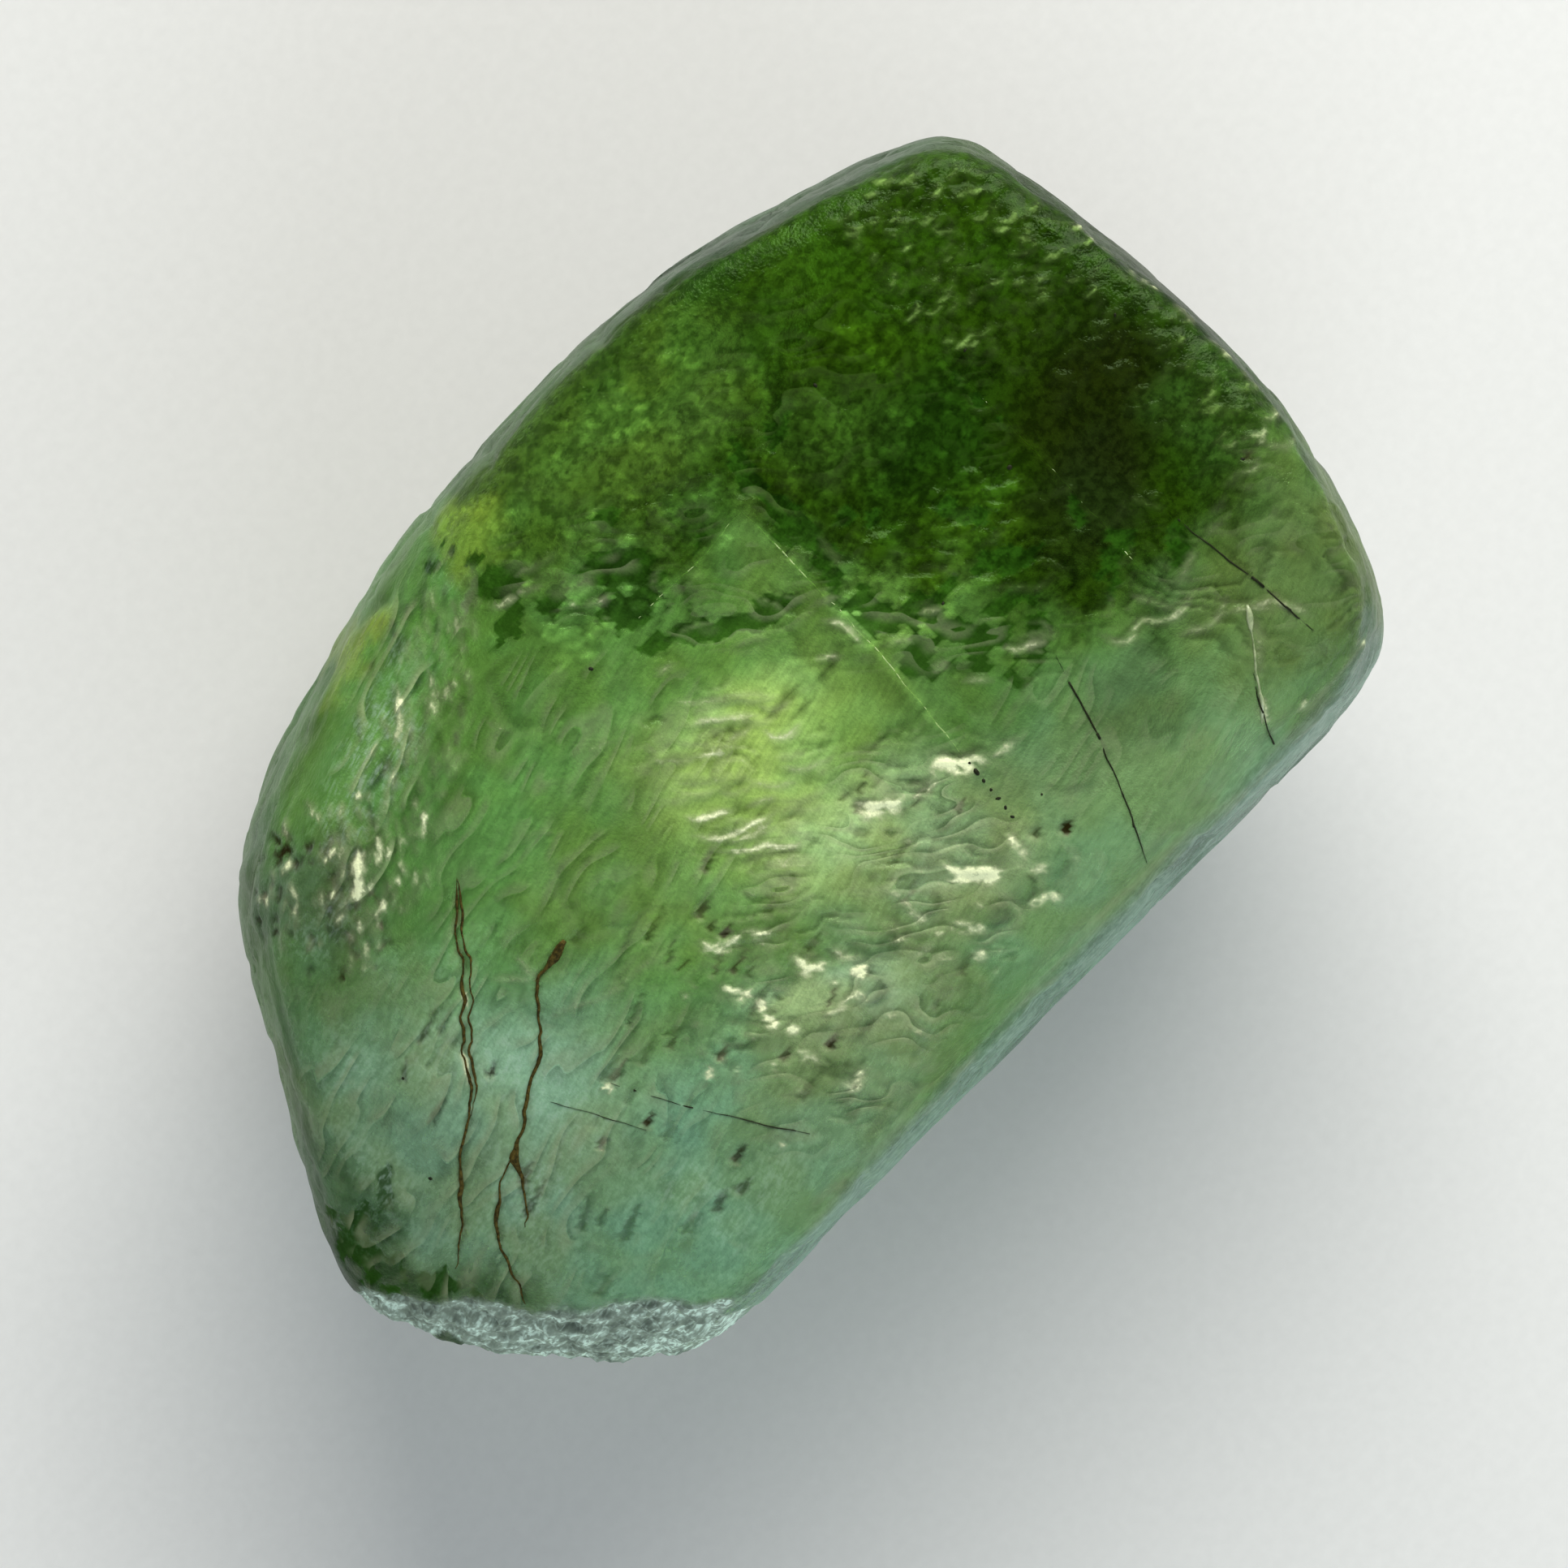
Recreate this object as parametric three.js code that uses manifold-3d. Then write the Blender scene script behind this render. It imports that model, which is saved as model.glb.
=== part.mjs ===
// A rough peridot crystal: one grown crystal with etched, softly worn faces and edges.
// It lies on its broad back face. Millimetres, +Z up, +X along the crystal's long axis.
// The origin is at the middle of the bounding box, on the surface that the crystal rests on.

import * as THREE from "three";
import { mergeVertices } from "three/addons/utils/BufferGeometryUtils.js";
import Module from "manifold-3d";

// ---------------------------------------------------------------- driving dimensions

const REST_FACE_CUT = 0.35;      // how far the rest face is ground into the rounded back
const EDGE_SHARPNESS = 28;       // larger is crisper: about 1 mm of wear on the long edges
const MESH_DETAIL = 16;          // divisions of the starting sphere
const ROUGH_PROPORTIONS = new THREE.Vector3(18, 12, 8);   // spreads the points evenly

const PERIDOT_GREEN = 0x6f9a3c;
const PERIDOT_ROUGHNESS = 0.3;

// Every crystal face, as the way it looks and how far it lies from the crystal's middle.
// Azimuth goes from +X towards +Y. Lift is above (+) or below (-) the horizontal.
const CRYSTAL_FACES = [
  // front: two broad faces that meet in a low ridge, and two slopes down to the broken end
  { name: "upper front", azimuth: 60, lift: 85, distance: 7.9 },
  { name: "lower front", azimuth: 262, lift: 84, distance: 8.0 },
  { name: "front slope", azimuth: 198, lift: 75, distance: 8.9 },
  { name: "front end slope", azimuth: 205, lift: 62, distance: 11.4 },

  // bevels between the front and the sides
  { name: "straight side bevel", azimuth: 270, lift: 40, distance: 12.2 },
  { name: "fracture", azimuth: 225, lift: 28, distance: 16.5 },
  { name: "broken end bevel", azimuth: 196, lift: 35, distance: 17.1 },
  { name: "shoulder bevel", azimuth: 150, lift: 35, distance: 15.2 },
  { name: "pitted bevel", azimuth: 110, lift: 45, distance: 11.8 },

  // sides, in order round the crystal
  { name: "dark end", azimuth: 354, lift: 3, distance: 19.65 },
  { name: "dark end upper half", azimuth: 9, lift: 3, distance: 19.05 },
  { name: "dark end shoulder", azimuth: 338, lift: 4, distance: 19.75 },
  { name: "worn corner", azimuth: 308, lift: 4, distance: 19.1 },
  { name: "long straight side", azimuth: 270, lift: 3, distance: 11.8 },
  { name: "broken end corner", azimuth: 234, lift: 6, distance: 17.6 },
  { name: "broken end", azimuth: 204, lift: 6, distance: 20.3 },
  { name: "broken end shoulder", azimuth: 150, lift: 6, distance: 15.6 },
  { name: "pitted side", azimuth: 110, lift: 6, distance: 12.25 },
  { name: "upper side", azimuth: 93, lift: 4, distance: 11.8 },
  { name: "upper side shoulder", azimuth: 73, lift: 4, distance: 13.8 },
  { name: "apex", azimuth: 52, lift: 4, distance: 19.0 },

  // back: the flat rest face and the faces that rise from it to the sides
  { name: "rest face", azimuth: 0, lift: -90, distance: 8.0 },
  { name: "low dome", azimuth: 0, lift: -72, distance: 8.9 },
  { name: "steep dome", azimuth: 0, lift: -52, distance: 11.9 },
  { name: "back of upper side", azimuth: 90, lift: -47, distance: 9.2 },
  { name: "back of straight side", azimuth: 270, lift: -41, distance: 10.6 },
  { name: "back of broken end", azimuth: 212, lift: -36, distance: 15.5 },
  { name: "back of shoulder", azimuth: 152, lift: -36, distance: 13.0 },
];

// ---------------------------------------------------------------- crystal form

// The unit vector that a face looks along.
function faceNormal({ azimuth, lift }) {
  const turn = THREE.MathUtils.degToRad(azimuth);
  const rise = THREE.MathUtils.degToRad(lift);
  return new THREE.Vector3(
    Math.cos(rise) * Math.cos(turn),
    Math.cos(rise) * Math.sin(turn),
    Math.sin(rise),
  );
}

// How far the surface lies from the middle in one direction. Each face gives one term of a
// power sum, so the body is the faces' convex solid with every edge and corner worn round.
function reach(direction, normals) {
  let sum = 0;
  CRYSTAL_FACES.forEach((face, i) => {
    const toFace = direction.dot(normals[i]) / face.distance;
    if (toFace > 0) {
      sum += toFace ** EDGE_SHARPNESS;
    }
  });
  return sum ** (-1 / EDGE_SHARPNESS);
}

// The worn crystal round its own middle: a fine sphere whose points are pushed to the faces.
function wornCrystal() {
  const sphere = new THREE.IcosahedronGeometry(1, MESH_DETAIL);
  sphere.deleteAttribute("normal");
  sphere.deleteAttribute("uv");
  const geometry = mergeVertices(sphere);
  const normals = CRYSTAL_FACES.map(faceNormal);
  const points = geometry.getAttribute("position");
  const direction = new THREE.Vector3();
  for (let i = 0; i < points.count; i += 1) {
    direction.fromBufferAttribute(points, i).multiply(ROUGH_PROPORTIONS).normalize();
    direction.multiplyScalar(reach(direction, normals));
    points.setXYZ(i, direction.x, direction.y, direction.z);
  }
  return geometry;
}

// A block that takes away everything under the plane z = height.
function blockBelow(height) {
  const side = 100;
  const block = new THREE.BoxGeometry(side, side, side);
  block.translate(0, 0, height - side / 2);
  block.deleteAttribute("normal");
  block.deleteAttribute("uv");
  return mergeVertices(block);
}

// ---------------------------------------------------------------- joining and cutting

const wasm = await Module();
wasm.setup();

function toSolid(geometry) {
  return new wasm.Manifold(
    new wasm.Mesh({
      numProp: 3,
      vertProperties: Float32Array.from(geometry.getAttribute("position").array),
      triVerts: Uint32Array.from(geometry.index.array),
    }),
  );
}

function toGeometry(solid) {
  const mesh = solid.getMesh();
  const geometry = new THREE.BufferGeometry();
  geometry.setAttribute("position", new THREE.BufferAttribute(mesh.vertProperties, 3));
  geometry.setIndex(new THREE.BufferAttribute(mesh.triVerts, 1));
  return geometry;
}

// ---------------------------------------------------------------- the crystal

function crystalGeometry() {
  const worn = wornCrystal();
  worn.computeBoundingBox();
  const restHeight = worn.boundingBox.min.z + REST_FACE_CUT;
  const geometry = toGeometry(toSolid(worn).subtract(toSolid(blockBelow(restHeight))));
  geometry.computeBoundingBox();
  const { min, max } = geometry.boundingBox;
  geometry.translate(-(min.x + max.x) / 2, -(min.y + max.y) / 2, -min.z);
  geometry.computeVertexNormals();
  return geometry;
}

const crystal = new THREE.Mesh(
  crystalGeometry(),
  new THREE.MeshStandardMaterial({
    color: PERIDOT_GREEN,
    roughness: PERIDOT_ROUGHNESS,
    metalness: 0,
  }),
);
crystal.name = "peridot_crystal";

const group = new THREE.Group();
group.add(crystal);

export default group;
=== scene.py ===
"""A rough peridot crystal, lying on its flat back face on a pale studio floor.

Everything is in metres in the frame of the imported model: +X along the crystal's long axis towards
its dark end, +Y towards its upper side, +Z up. MM turns millimetres into metres.
"""

import math
from functools import partial

import bmesh
import bpy
import numpy as np
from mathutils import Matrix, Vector
from mathutils.bvhtree import BVHTree


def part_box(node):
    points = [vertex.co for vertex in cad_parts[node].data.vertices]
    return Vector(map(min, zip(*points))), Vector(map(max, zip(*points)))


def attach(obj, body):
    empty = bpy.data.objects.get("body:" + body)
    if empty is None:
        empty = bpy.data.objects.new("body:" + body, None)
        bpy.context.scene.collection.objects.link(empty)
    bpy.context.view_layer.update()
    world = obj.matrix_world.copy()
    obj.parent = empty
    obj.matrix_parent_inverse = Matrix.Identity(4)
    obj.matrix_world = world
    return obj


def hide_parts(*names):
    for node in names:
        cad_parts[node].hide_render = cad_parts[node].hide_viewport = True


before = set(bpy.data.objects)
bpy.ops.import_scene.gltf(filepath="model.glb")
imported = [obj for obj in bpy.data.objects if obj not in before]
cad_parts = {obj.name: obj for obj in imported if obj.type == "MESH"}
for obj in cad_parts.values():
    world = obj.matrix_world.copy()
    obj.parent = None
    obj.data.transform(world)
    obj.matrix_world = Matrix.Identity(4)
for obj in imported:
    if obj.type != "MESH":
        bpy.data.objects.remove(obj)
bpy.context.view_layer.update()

# ------------------------------------------------------------------ measures

MM = 0.001
LOW, HIGH = (Vector(corner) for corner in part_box("peridot_crystal"))
MIDDLE = (LOW + HIGH) / 2
HALF = (HIGH - LOW) / 2

BODY_VOXEL = 0.27 * MM                 # the front is then split once more, to half of this
FRONT_LEAN = 0.3                       # the front is where the normals' z is over this
GRAIN_SIZE = 0.20 * MM                 # of the fine grains that break up a broad stroke
THINNEST_STROKE = 0.12 * MM            # the front's points can't hold a finer mark
ETCH_WAY = math.radians(14)            # the etch pits run this way, as an azimuth from +X
CLIMB_WAY = math.radians(44.8)         # the growth steps climb this way, to the dark end
STEP_WAY = CLIMB_WAY - math.pi / 2     # and their edges run this way
PIT_TURN = 0.14                        # how far the strewn pits turn off their way, in radians
SEED = 31


def heading(way):
    """The unit vector in plan of an azimuth."""
    return np.array((math.cos(way), math.sin(way)))


def place(along, across):
    """A point in plan, from fractions of the crystal's half length and half width."""
    return np.array((MIDDLE.x + along * HALF.x, MIDDLE.y + across * HALF.y))


def at(run, climb):
    """A point in plan, in hundredths of the half length: along the growth steps, up their climb."""
    away = heading(STEP_WAY) * run + heading(CLIMB_WAY) * climb
    return place(0, 0) + away * HALF.x / 100


def moved(stops, way, gap):
    """Stops moved along an azimuth by a gap in mm."""
    return [stop + heading(way) * gap * MM for stop in stops]


# ------------------------------------------------------------------ modelling helpers

def only(piece):
    """Makes one object the selected and active one."""
    bpy.ops.object.select_all(action="DESELECT")
    piece.select_set(True)
    bpy.context.view_layer.objects.active = piece


def apply_modifier(piece, kind, **settings):
    """Adds one modifier with its settings and applies it."""
    only(piece)
    modifier = piece.modifiers.new(kind.lower(), kind)
    for name, value in settings.items():
        setattr(modifier, name, value)
    bpy.ops.object.modifier_apply(modifier=modifier.name)


def settle(piece, material):
    """Finishes a piece: its one material and the body it rides on."""
    piece.data.materials.clear()
    piece.data.materials.append(material)
    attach(piece, "root")


def read_points(mesh):
    points = np.empty(len(mesh.vertices) * 3)
    mesh.vertices.foreach_get("co", points)
    return points.reshape(-1, 3)


def read_normals(mesh):
    normals = np.empty(len(mesh.vertices) * 3)
    mesh.vertex_normals.foreach_get("vector", normals)
    return normals.reshape(-1, 3)


def write_points(mesh, points):
    mesh.vertices.foreach_set("co", points.ravel())
    mesh.update()


def write_number(mesh, name, values):
    """Stores one number per point, for a material to read by name."""
    layer = mesh.attributes.new(name, "FLOAT", "POINT")
    layer.data.foreach_set("value", values.astype(np.float32))


def write_colour(mesh, name, colours):
    """Stores one colour per point, for a material to read by name."""
    layer = mesh.attributes.new(name, "FLOAT_COLOR", "POINT")
    opaque = np.concatenate((colours, np.ones((len(colours), 1))), axis=1)
    layer.data.foreach_set("color", opaque.astype(np.float32).ravel())


def smoothstep(low, high, value):
    part = np.clip((value - low) / (high - low), 0, 1)
    return part * part * (3 - 2 * part)


def bell(distance, width):
    """1 at no distance, fading to nothing at about twice the width."""
    return np.exp(-((distance / width) ** 2))


def lattice_noise(points, grain, seed):
    """Smooth noise from -1 to 1 with one size of grain."""
    table = np.random.default_rng(seed).random(4096) * 2 - 1
    cell = points / grain
    corner = np.floor(cell).astype(np.int64)
    part = cell - corner
    part = part ** 3 * (part * (part * 6 - 15) + 10)
    total = np.zeros(len(points))
    for step in np.ndindex(2, 2, 2):
        spot = corner + step
        index = (spot[:, 0] * 73856093 ^ spot[:, 1] * 19349663 ^ spot[:, 2] * 83492791) & 4095
        weight = np.prod(np.where(step, part, 1 - part), axis=1)
        total += table[index] * weight
    return total


def rough_noise(points, grain, seed, octaves):
    """Noise with finer and finer grains on top of each other."""
    total = np.zeros(len(points))
    for octave in range(octaves):
        total += lattice_noise(points, grain / 2 ** octave, seed + octave) / 2 ** octave
    return total


def turned(plan, way):
    """Plan coordinates turned so that the first runs along an azimuth."""
    ahead = heading(way)
    return plan @ ahead, plan @ np.array((-ahead[1], ahead[0]))


def off_oval(plan, middle, reach, tilt):
    """How far each point is from an oval's middle: 1 is its rim. Its reach is in mm."""
    along, across = turned(plan - middle, math.radians(tilt))
    return np.hypot(along / reach[0], across / reach[1]) / MM


def stretched(points, way, ratio):
    """Points squeezed along an azimuth, so that noise on them comes out drawn that way."""
    along, across = turned(points[:, :2], way)
    return np.stack((along / ratio, across, points[:, 2] / ratio), axis=1)


def smooth_path(stops, spacing, wobble, seed):
    """A smooth line of plan points through a few stops, off them by up to about the wobble."""
    stops = np.array(stops)
    ends = np.concatenate((stops[:1] * 2 - stops[1:2], stops, stops[-1:] * 2 - stops[-2:-1]))
    line = []
    for before, start, end, after in zip(ends, ends[1:], ends[2:], ends[3:]):
        count = max(2, int(np.linalg.norm(end - start) / spacing))
        t = np.linspace(0, 1, count, endpoint=False)[:, None]
        line.append(0.5 * (
            2 * start
            + (end - before) * t
            + (2 * before - 5 * start + 4 * end - after) * t ** 2
            + (3 * start - before - 3 * end + after) * t ** 3
        ))
    line = np.concatenate(line + [stops[-1:]])
    flat = np.concatenate((line, np.zeros((len(line), 1))), axis=1)
    shift = [rough_noise(flat, 0.7 * MM, seed + k, 3) for k in (0, 10)]
    return line + np.stack(shift, axis=1) * wobble


def stained_path(stops, seed):
    """A rust seam's wandering line, the same for its groove and for its filling."""
    return smooth_path([place(*stop) for stop in stops], 0.12 * MM, 0.10 * MM, seed)


# ------------------------------------------------------------------ lines and spots on the crystal

# Rust-brown seams on the broken end. Their stops are for place().
UPPER_SEAM = [(-0.419, 0.268), (-0.508, 0.126), (-0.592, -0.021), (-0.647, -0.134),
              (-0.723, -0.209), (-0.786, -0.326), (-0.854, -0.402)]
LOWER_SEAM = [(-0.372, -0.025), (-0.419, -0.042), (-0.456, -0.059), (-0.519, -0.167),
              (-0.576, -0.218), (-0.629, -0.276), (-0.671, -0.326), (-0.691, -0.385),
              (-0.733, -0.452)]
SPLIT_SEAM = [(-0.671, -0.310), (-0.707, -0.335), (-0.754, -0.389), (-0.786, -0.460),
              (-0.817, -0.586)]

PALE_PART = 0.62                       # the upper seam is open and pale up to here

# Hairline cracks that go down into the glass: their stops, and the half thickness in mm.
CRACKS = [
    ([(0.744, -0.335), (0.754, -0.502), (0.765, -0.653), (0.770, -0.787)], 0.036),
    ([(0.466, -0.385), (0.432, -0.561), (0.393, -0.720), (0.340, -0.900)], 0.030),
    ([(0.660, -0.753), (0.634, -0.828), (0.605, -0.921)], 0.024),
    ([(-0.482, -0.351), (-0.414, -0.544), (-0.320, -0.787)], 0.020),
    ([(-0.566, -0.276), (-0.529, -0.385), (-0.492, -0.494)], 0.014),
]

# Healed cracks that lie just under the front as pale lines, written as the hairline cracks are, and
# the stops of the bright tube by the corner.
HEALED_LINES = [
    ([(0.283, 0.410), (0.282, 0.200), (0.280, 0.000), (0.270, -0.200), (0.256, -0.400)], 0.022),
    ([(0.283, 0.410), (0.180, 0.402), (0.090, 0.405), (0.010, 0.402)], 0.020),
    ([(0.665, 0.330), (0.668, 0.100), (0.662, -0.150), (0.650, -0.420)], 0.022),
]
BRIGHT_TUBE = [(0.726, -0.632), (0.681, -0.728), (0.618, -0.862)]

# Single deep pits: the nose, length and half width in mm, and how dark the nose is.
DEEP_PITS = [
    (0.278, -0.707, 0.7, 0.20, 1.0),
    (0.241, -0.661, 0.6, 0.16, 0.8),
    (-0.210, -0.669, 0.8, 0.19, 1.0),
    (-0.272, -0.611, 0.7, 0.17, 0.8),
    (-0.340, -0.498, 0.8, 0.17, 0.9),
    (-0.204, -0.293, 0.7, 0.19, 1.0),
    (-0.207, -0.218, 0.9, 0.15, 0.8),
    (-0.492, -0.485, 0.8, 0.14, 1.0),
    (-0.566, -0.444, 0.7, 0.14, 1.0),
    (-0.435, -0.703, 0.9, 0.16, 0.9),
    (-0.477, -0.351, 1.2, 0.14, 0.8),
    (-0.608, -0.126, 0.7, 0.14, 0.9),
    (0.880, -0.377, 0.5, 0.16, 0.9),
]

# The marks from here to the shields are placed with at().

# Conchoidal ripples over the glow, painted as highlights with painted shade below: half width in
# mm, how bright, and their stops.
GLOW_RIPPLE_GLINTS = [
    (0.10, 0.55, [(-3.5, 8), (-0.5, 9.5), (3, 10), (6, 9.5)]),
    (0.17, 0.70, [(-7, 5), (-3.5, 6), (0.5, 6.5), (4.5, 7)]),
    (0.10, 0.45, [(-6, 3), (-3.5, 4), (-0.5, 5)]),
    (0.12, 0.60, [(-0.5, 3.5), (1.5, 4), (3.5, 5)]),
    (0.15, 0.75, [(5, 4.5), (7, 3.5), (9.5, 4), (11, 6)]),
    (0.12, 0.90, [(-5, 0.5), (-3, 1), (-0.5, 1)]),
    (0.09, 0.40, [(-6.5, -3), (-3, -2.5), (0, -1)]),
    (0.10, 0.45, [(-5.5, -5.5), (-2, -4.5), (1, -3)]),
    (0.13, 1.00, [(-6.5, -8.5), (-4.5, -9), (-2, -8), (0.5, -7.5)]),
    (0.10, 0.70, [(3, -7), (5, -6), (7.5, -5.5)]),
    (0.12, 0.95, [(-5.5, -11.5), (-2.5, -12), (1, -11), (4, -9.5), (7, -8)]),
    (0.10, 0.80, [(0, -12.5), (3, -11.5), (5, -10), (6.5, -9)]),
    (0.12, 1.00, [(-2, -13.5), (2, -14), (6, -13), (10, -13), (12, -11.5)]),
    (0.08, 0.60, [(7.5, -12), (9, -10.5), (10.5, -9.5)]),
    (0.08, 0.45, [(7.5, -8.5), (10, -7), (11.5, -4.5)]),
    (0.14, 0.80, [(14.5, 21.5), (17, 21), (19, 19.5), (20.5, 17.5)]),
    (0.10, 0.85, [(13, 15.5), (15, 16), (17, 16)]),
    (0.08, 0.55, [(12.5, 23.5), (14.5, 24.5), (17, 25)]),
    (0.09, 0.55, [(0.5, 17.5), (3.5, 18.5), (6, 18.5)]),
]

# Cream flecks where the shields on the lower front break off, painted highlights with painted shade
# above, written the same way.
CREAM_GLINTS = [
    (0.14, 1.00, [(30.5, -1), (32.5, 0), (35, -0.5), (38, 0.5), (39.5, 0.5)]),
    (0.08, 0.70, [(39.5, 0.5), (42, 2), (44.5, 4)]),
    (0.07, 0.60, [(27.5, -6), (30, -4), (32.5, -1.5)]),
    (0.17, 0.90, [(19, -6.5), (21.5, -7), (24.5, -6.5), (26.5, -5.5)]),
    (0.10, 0.65, [(19, -8), (22, -8.5), (24.5, -8)]),
    (0.16, 1.00, [(32.5, -16), (35.5, -17), (38.5, -17), (42, -16.5)]),
    (0.10, 0.80, [(42, -10), (43.5, -12), (45, -14), (45.5, -15.5)]),
    (0.09, 0.75, [(45.5, -16), (47.5, -16), (49, -15.5)]),
    (0.07, 0.60, [(52, -13), (53, -14.5), (53.5, -16)]),
    (0.15, 1.00, [(10, -30), (12, -31.5), (15, -31)]),
    (0.11, 0.60, [(15.5, -28.5), (18, -30), (20.5, -30)]),
    (0.11, 0.95, [(18.5, -31.5), (19.5, -32), (21, -31.5)]),
    (0.10, 0.90, [(-1.5, -34), (0.5, -35), (2.5, -35.5), (3.5, -34.5)]),
    (0.14, 1.00, [(4, -37), (5.5, -37)]),
    (0.13, 0.95, [(5, -39), (6.5, -39.5), (7, -39)]),
    (0.10, 0.90, [(9, -40), (10, -41), (10.5, -40)]),
    (0.09, 0.80, [(15.5, -33.5), (16.5, -34)]),
    (0.09, 0.70, [(14, -39), (17, -37.5), (19.5, -35.5), (21, -37)]),
    (0.11, 0.75, [(10.5, -44.5), (12, -45), (14, -45.5)]),
    (0.09, 0.80, [(6, -47), (7, -46.5)]),
    (0.13, 0.65, [(16.5, -49), (18.5, -49.5), (19.5, -48), (21.5, -47)]),
    (0.09, 0.75, [(35.5, -26.5), (36.5, -26), (38, -25.5), (40, -26.5)]),
    (0.12, 0.60, [(33.5, -24.5), (35.5, -25), (37.5, -25)]),
    (0.11, 0.70, [(37, -29.5), (38.5, -29.5), (39.5, -29)]),
    (0.12, 0.70, [(45.5, -22), (47.5, -21), (49.5, -20.5), (51, -22)]),
    (0.12, 0.75, [(-4.5, -27.5), (-2.5, -28.5), (-0.5, -28), (2, -26)]),
    (0.13, 0.55, [(2.5, -26), (5, -26.5), (7, -27)]),
    (0.09, 0.60, [(24, -19.5), (26.5, -21), (29, -23.5), (31.5, -24)]),
    (0.09, 0.55, [(23.5, -38.5), (24.5, -39), (26, -39)]),
    (0.09, 0.50, [(31.5, -29.5), (33.5, -30.5), (35, -29.5)]),
    (0.08, 0.90, [(-3.5, -46.5), (-3, -47.5), (-3.5, -48.5)]),
    (0.08, 0.70, [(0.5, -47.5), (1.5, -47)]),
    (0.10, 0.45, [(79.5, 23), (80.5, 18), (81, 13)]),
    (0.08, 0.80, [(81, 10), (81.6, 8), (82, 6)]),
    (0.09, 0.80, [(87.5, 9.5), (88.2, 8)]),
    (0.10, 0.90, [(96.5, 18.5), (97.2, 18)]),
    (0.08, 0.60, [(79, 24), (84, 24.5), (89, 22.5)]),
    (0.12, 1.00, [(-57, -13.5), (-57.2, -17), (-56.8, -21.5)]),
    (0.08, 0.80, [(-53.5, -11), (-54, -16)]),
    (0.09, 0.80, [(-46.5, -7), (-47.5, -11.5)]),
    (0.08, 0.70, [(-51, 12), (-50.5, 7), (-51.5, 2)]),
    (0.08, 0.70, [(-46, 14), (-45, 10), (-46.5, 6)]),
    (0.10, 0.90, [(-19.5, -50), (-18, -49.5)]),
    (0.07, 0.60, [(28.5, -29.5), (30, -28.5), (31.5, -27.5)]),
    (0.09, 0.80, [(7.5, -59), (8.5, -58.5)]),
]
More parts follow.
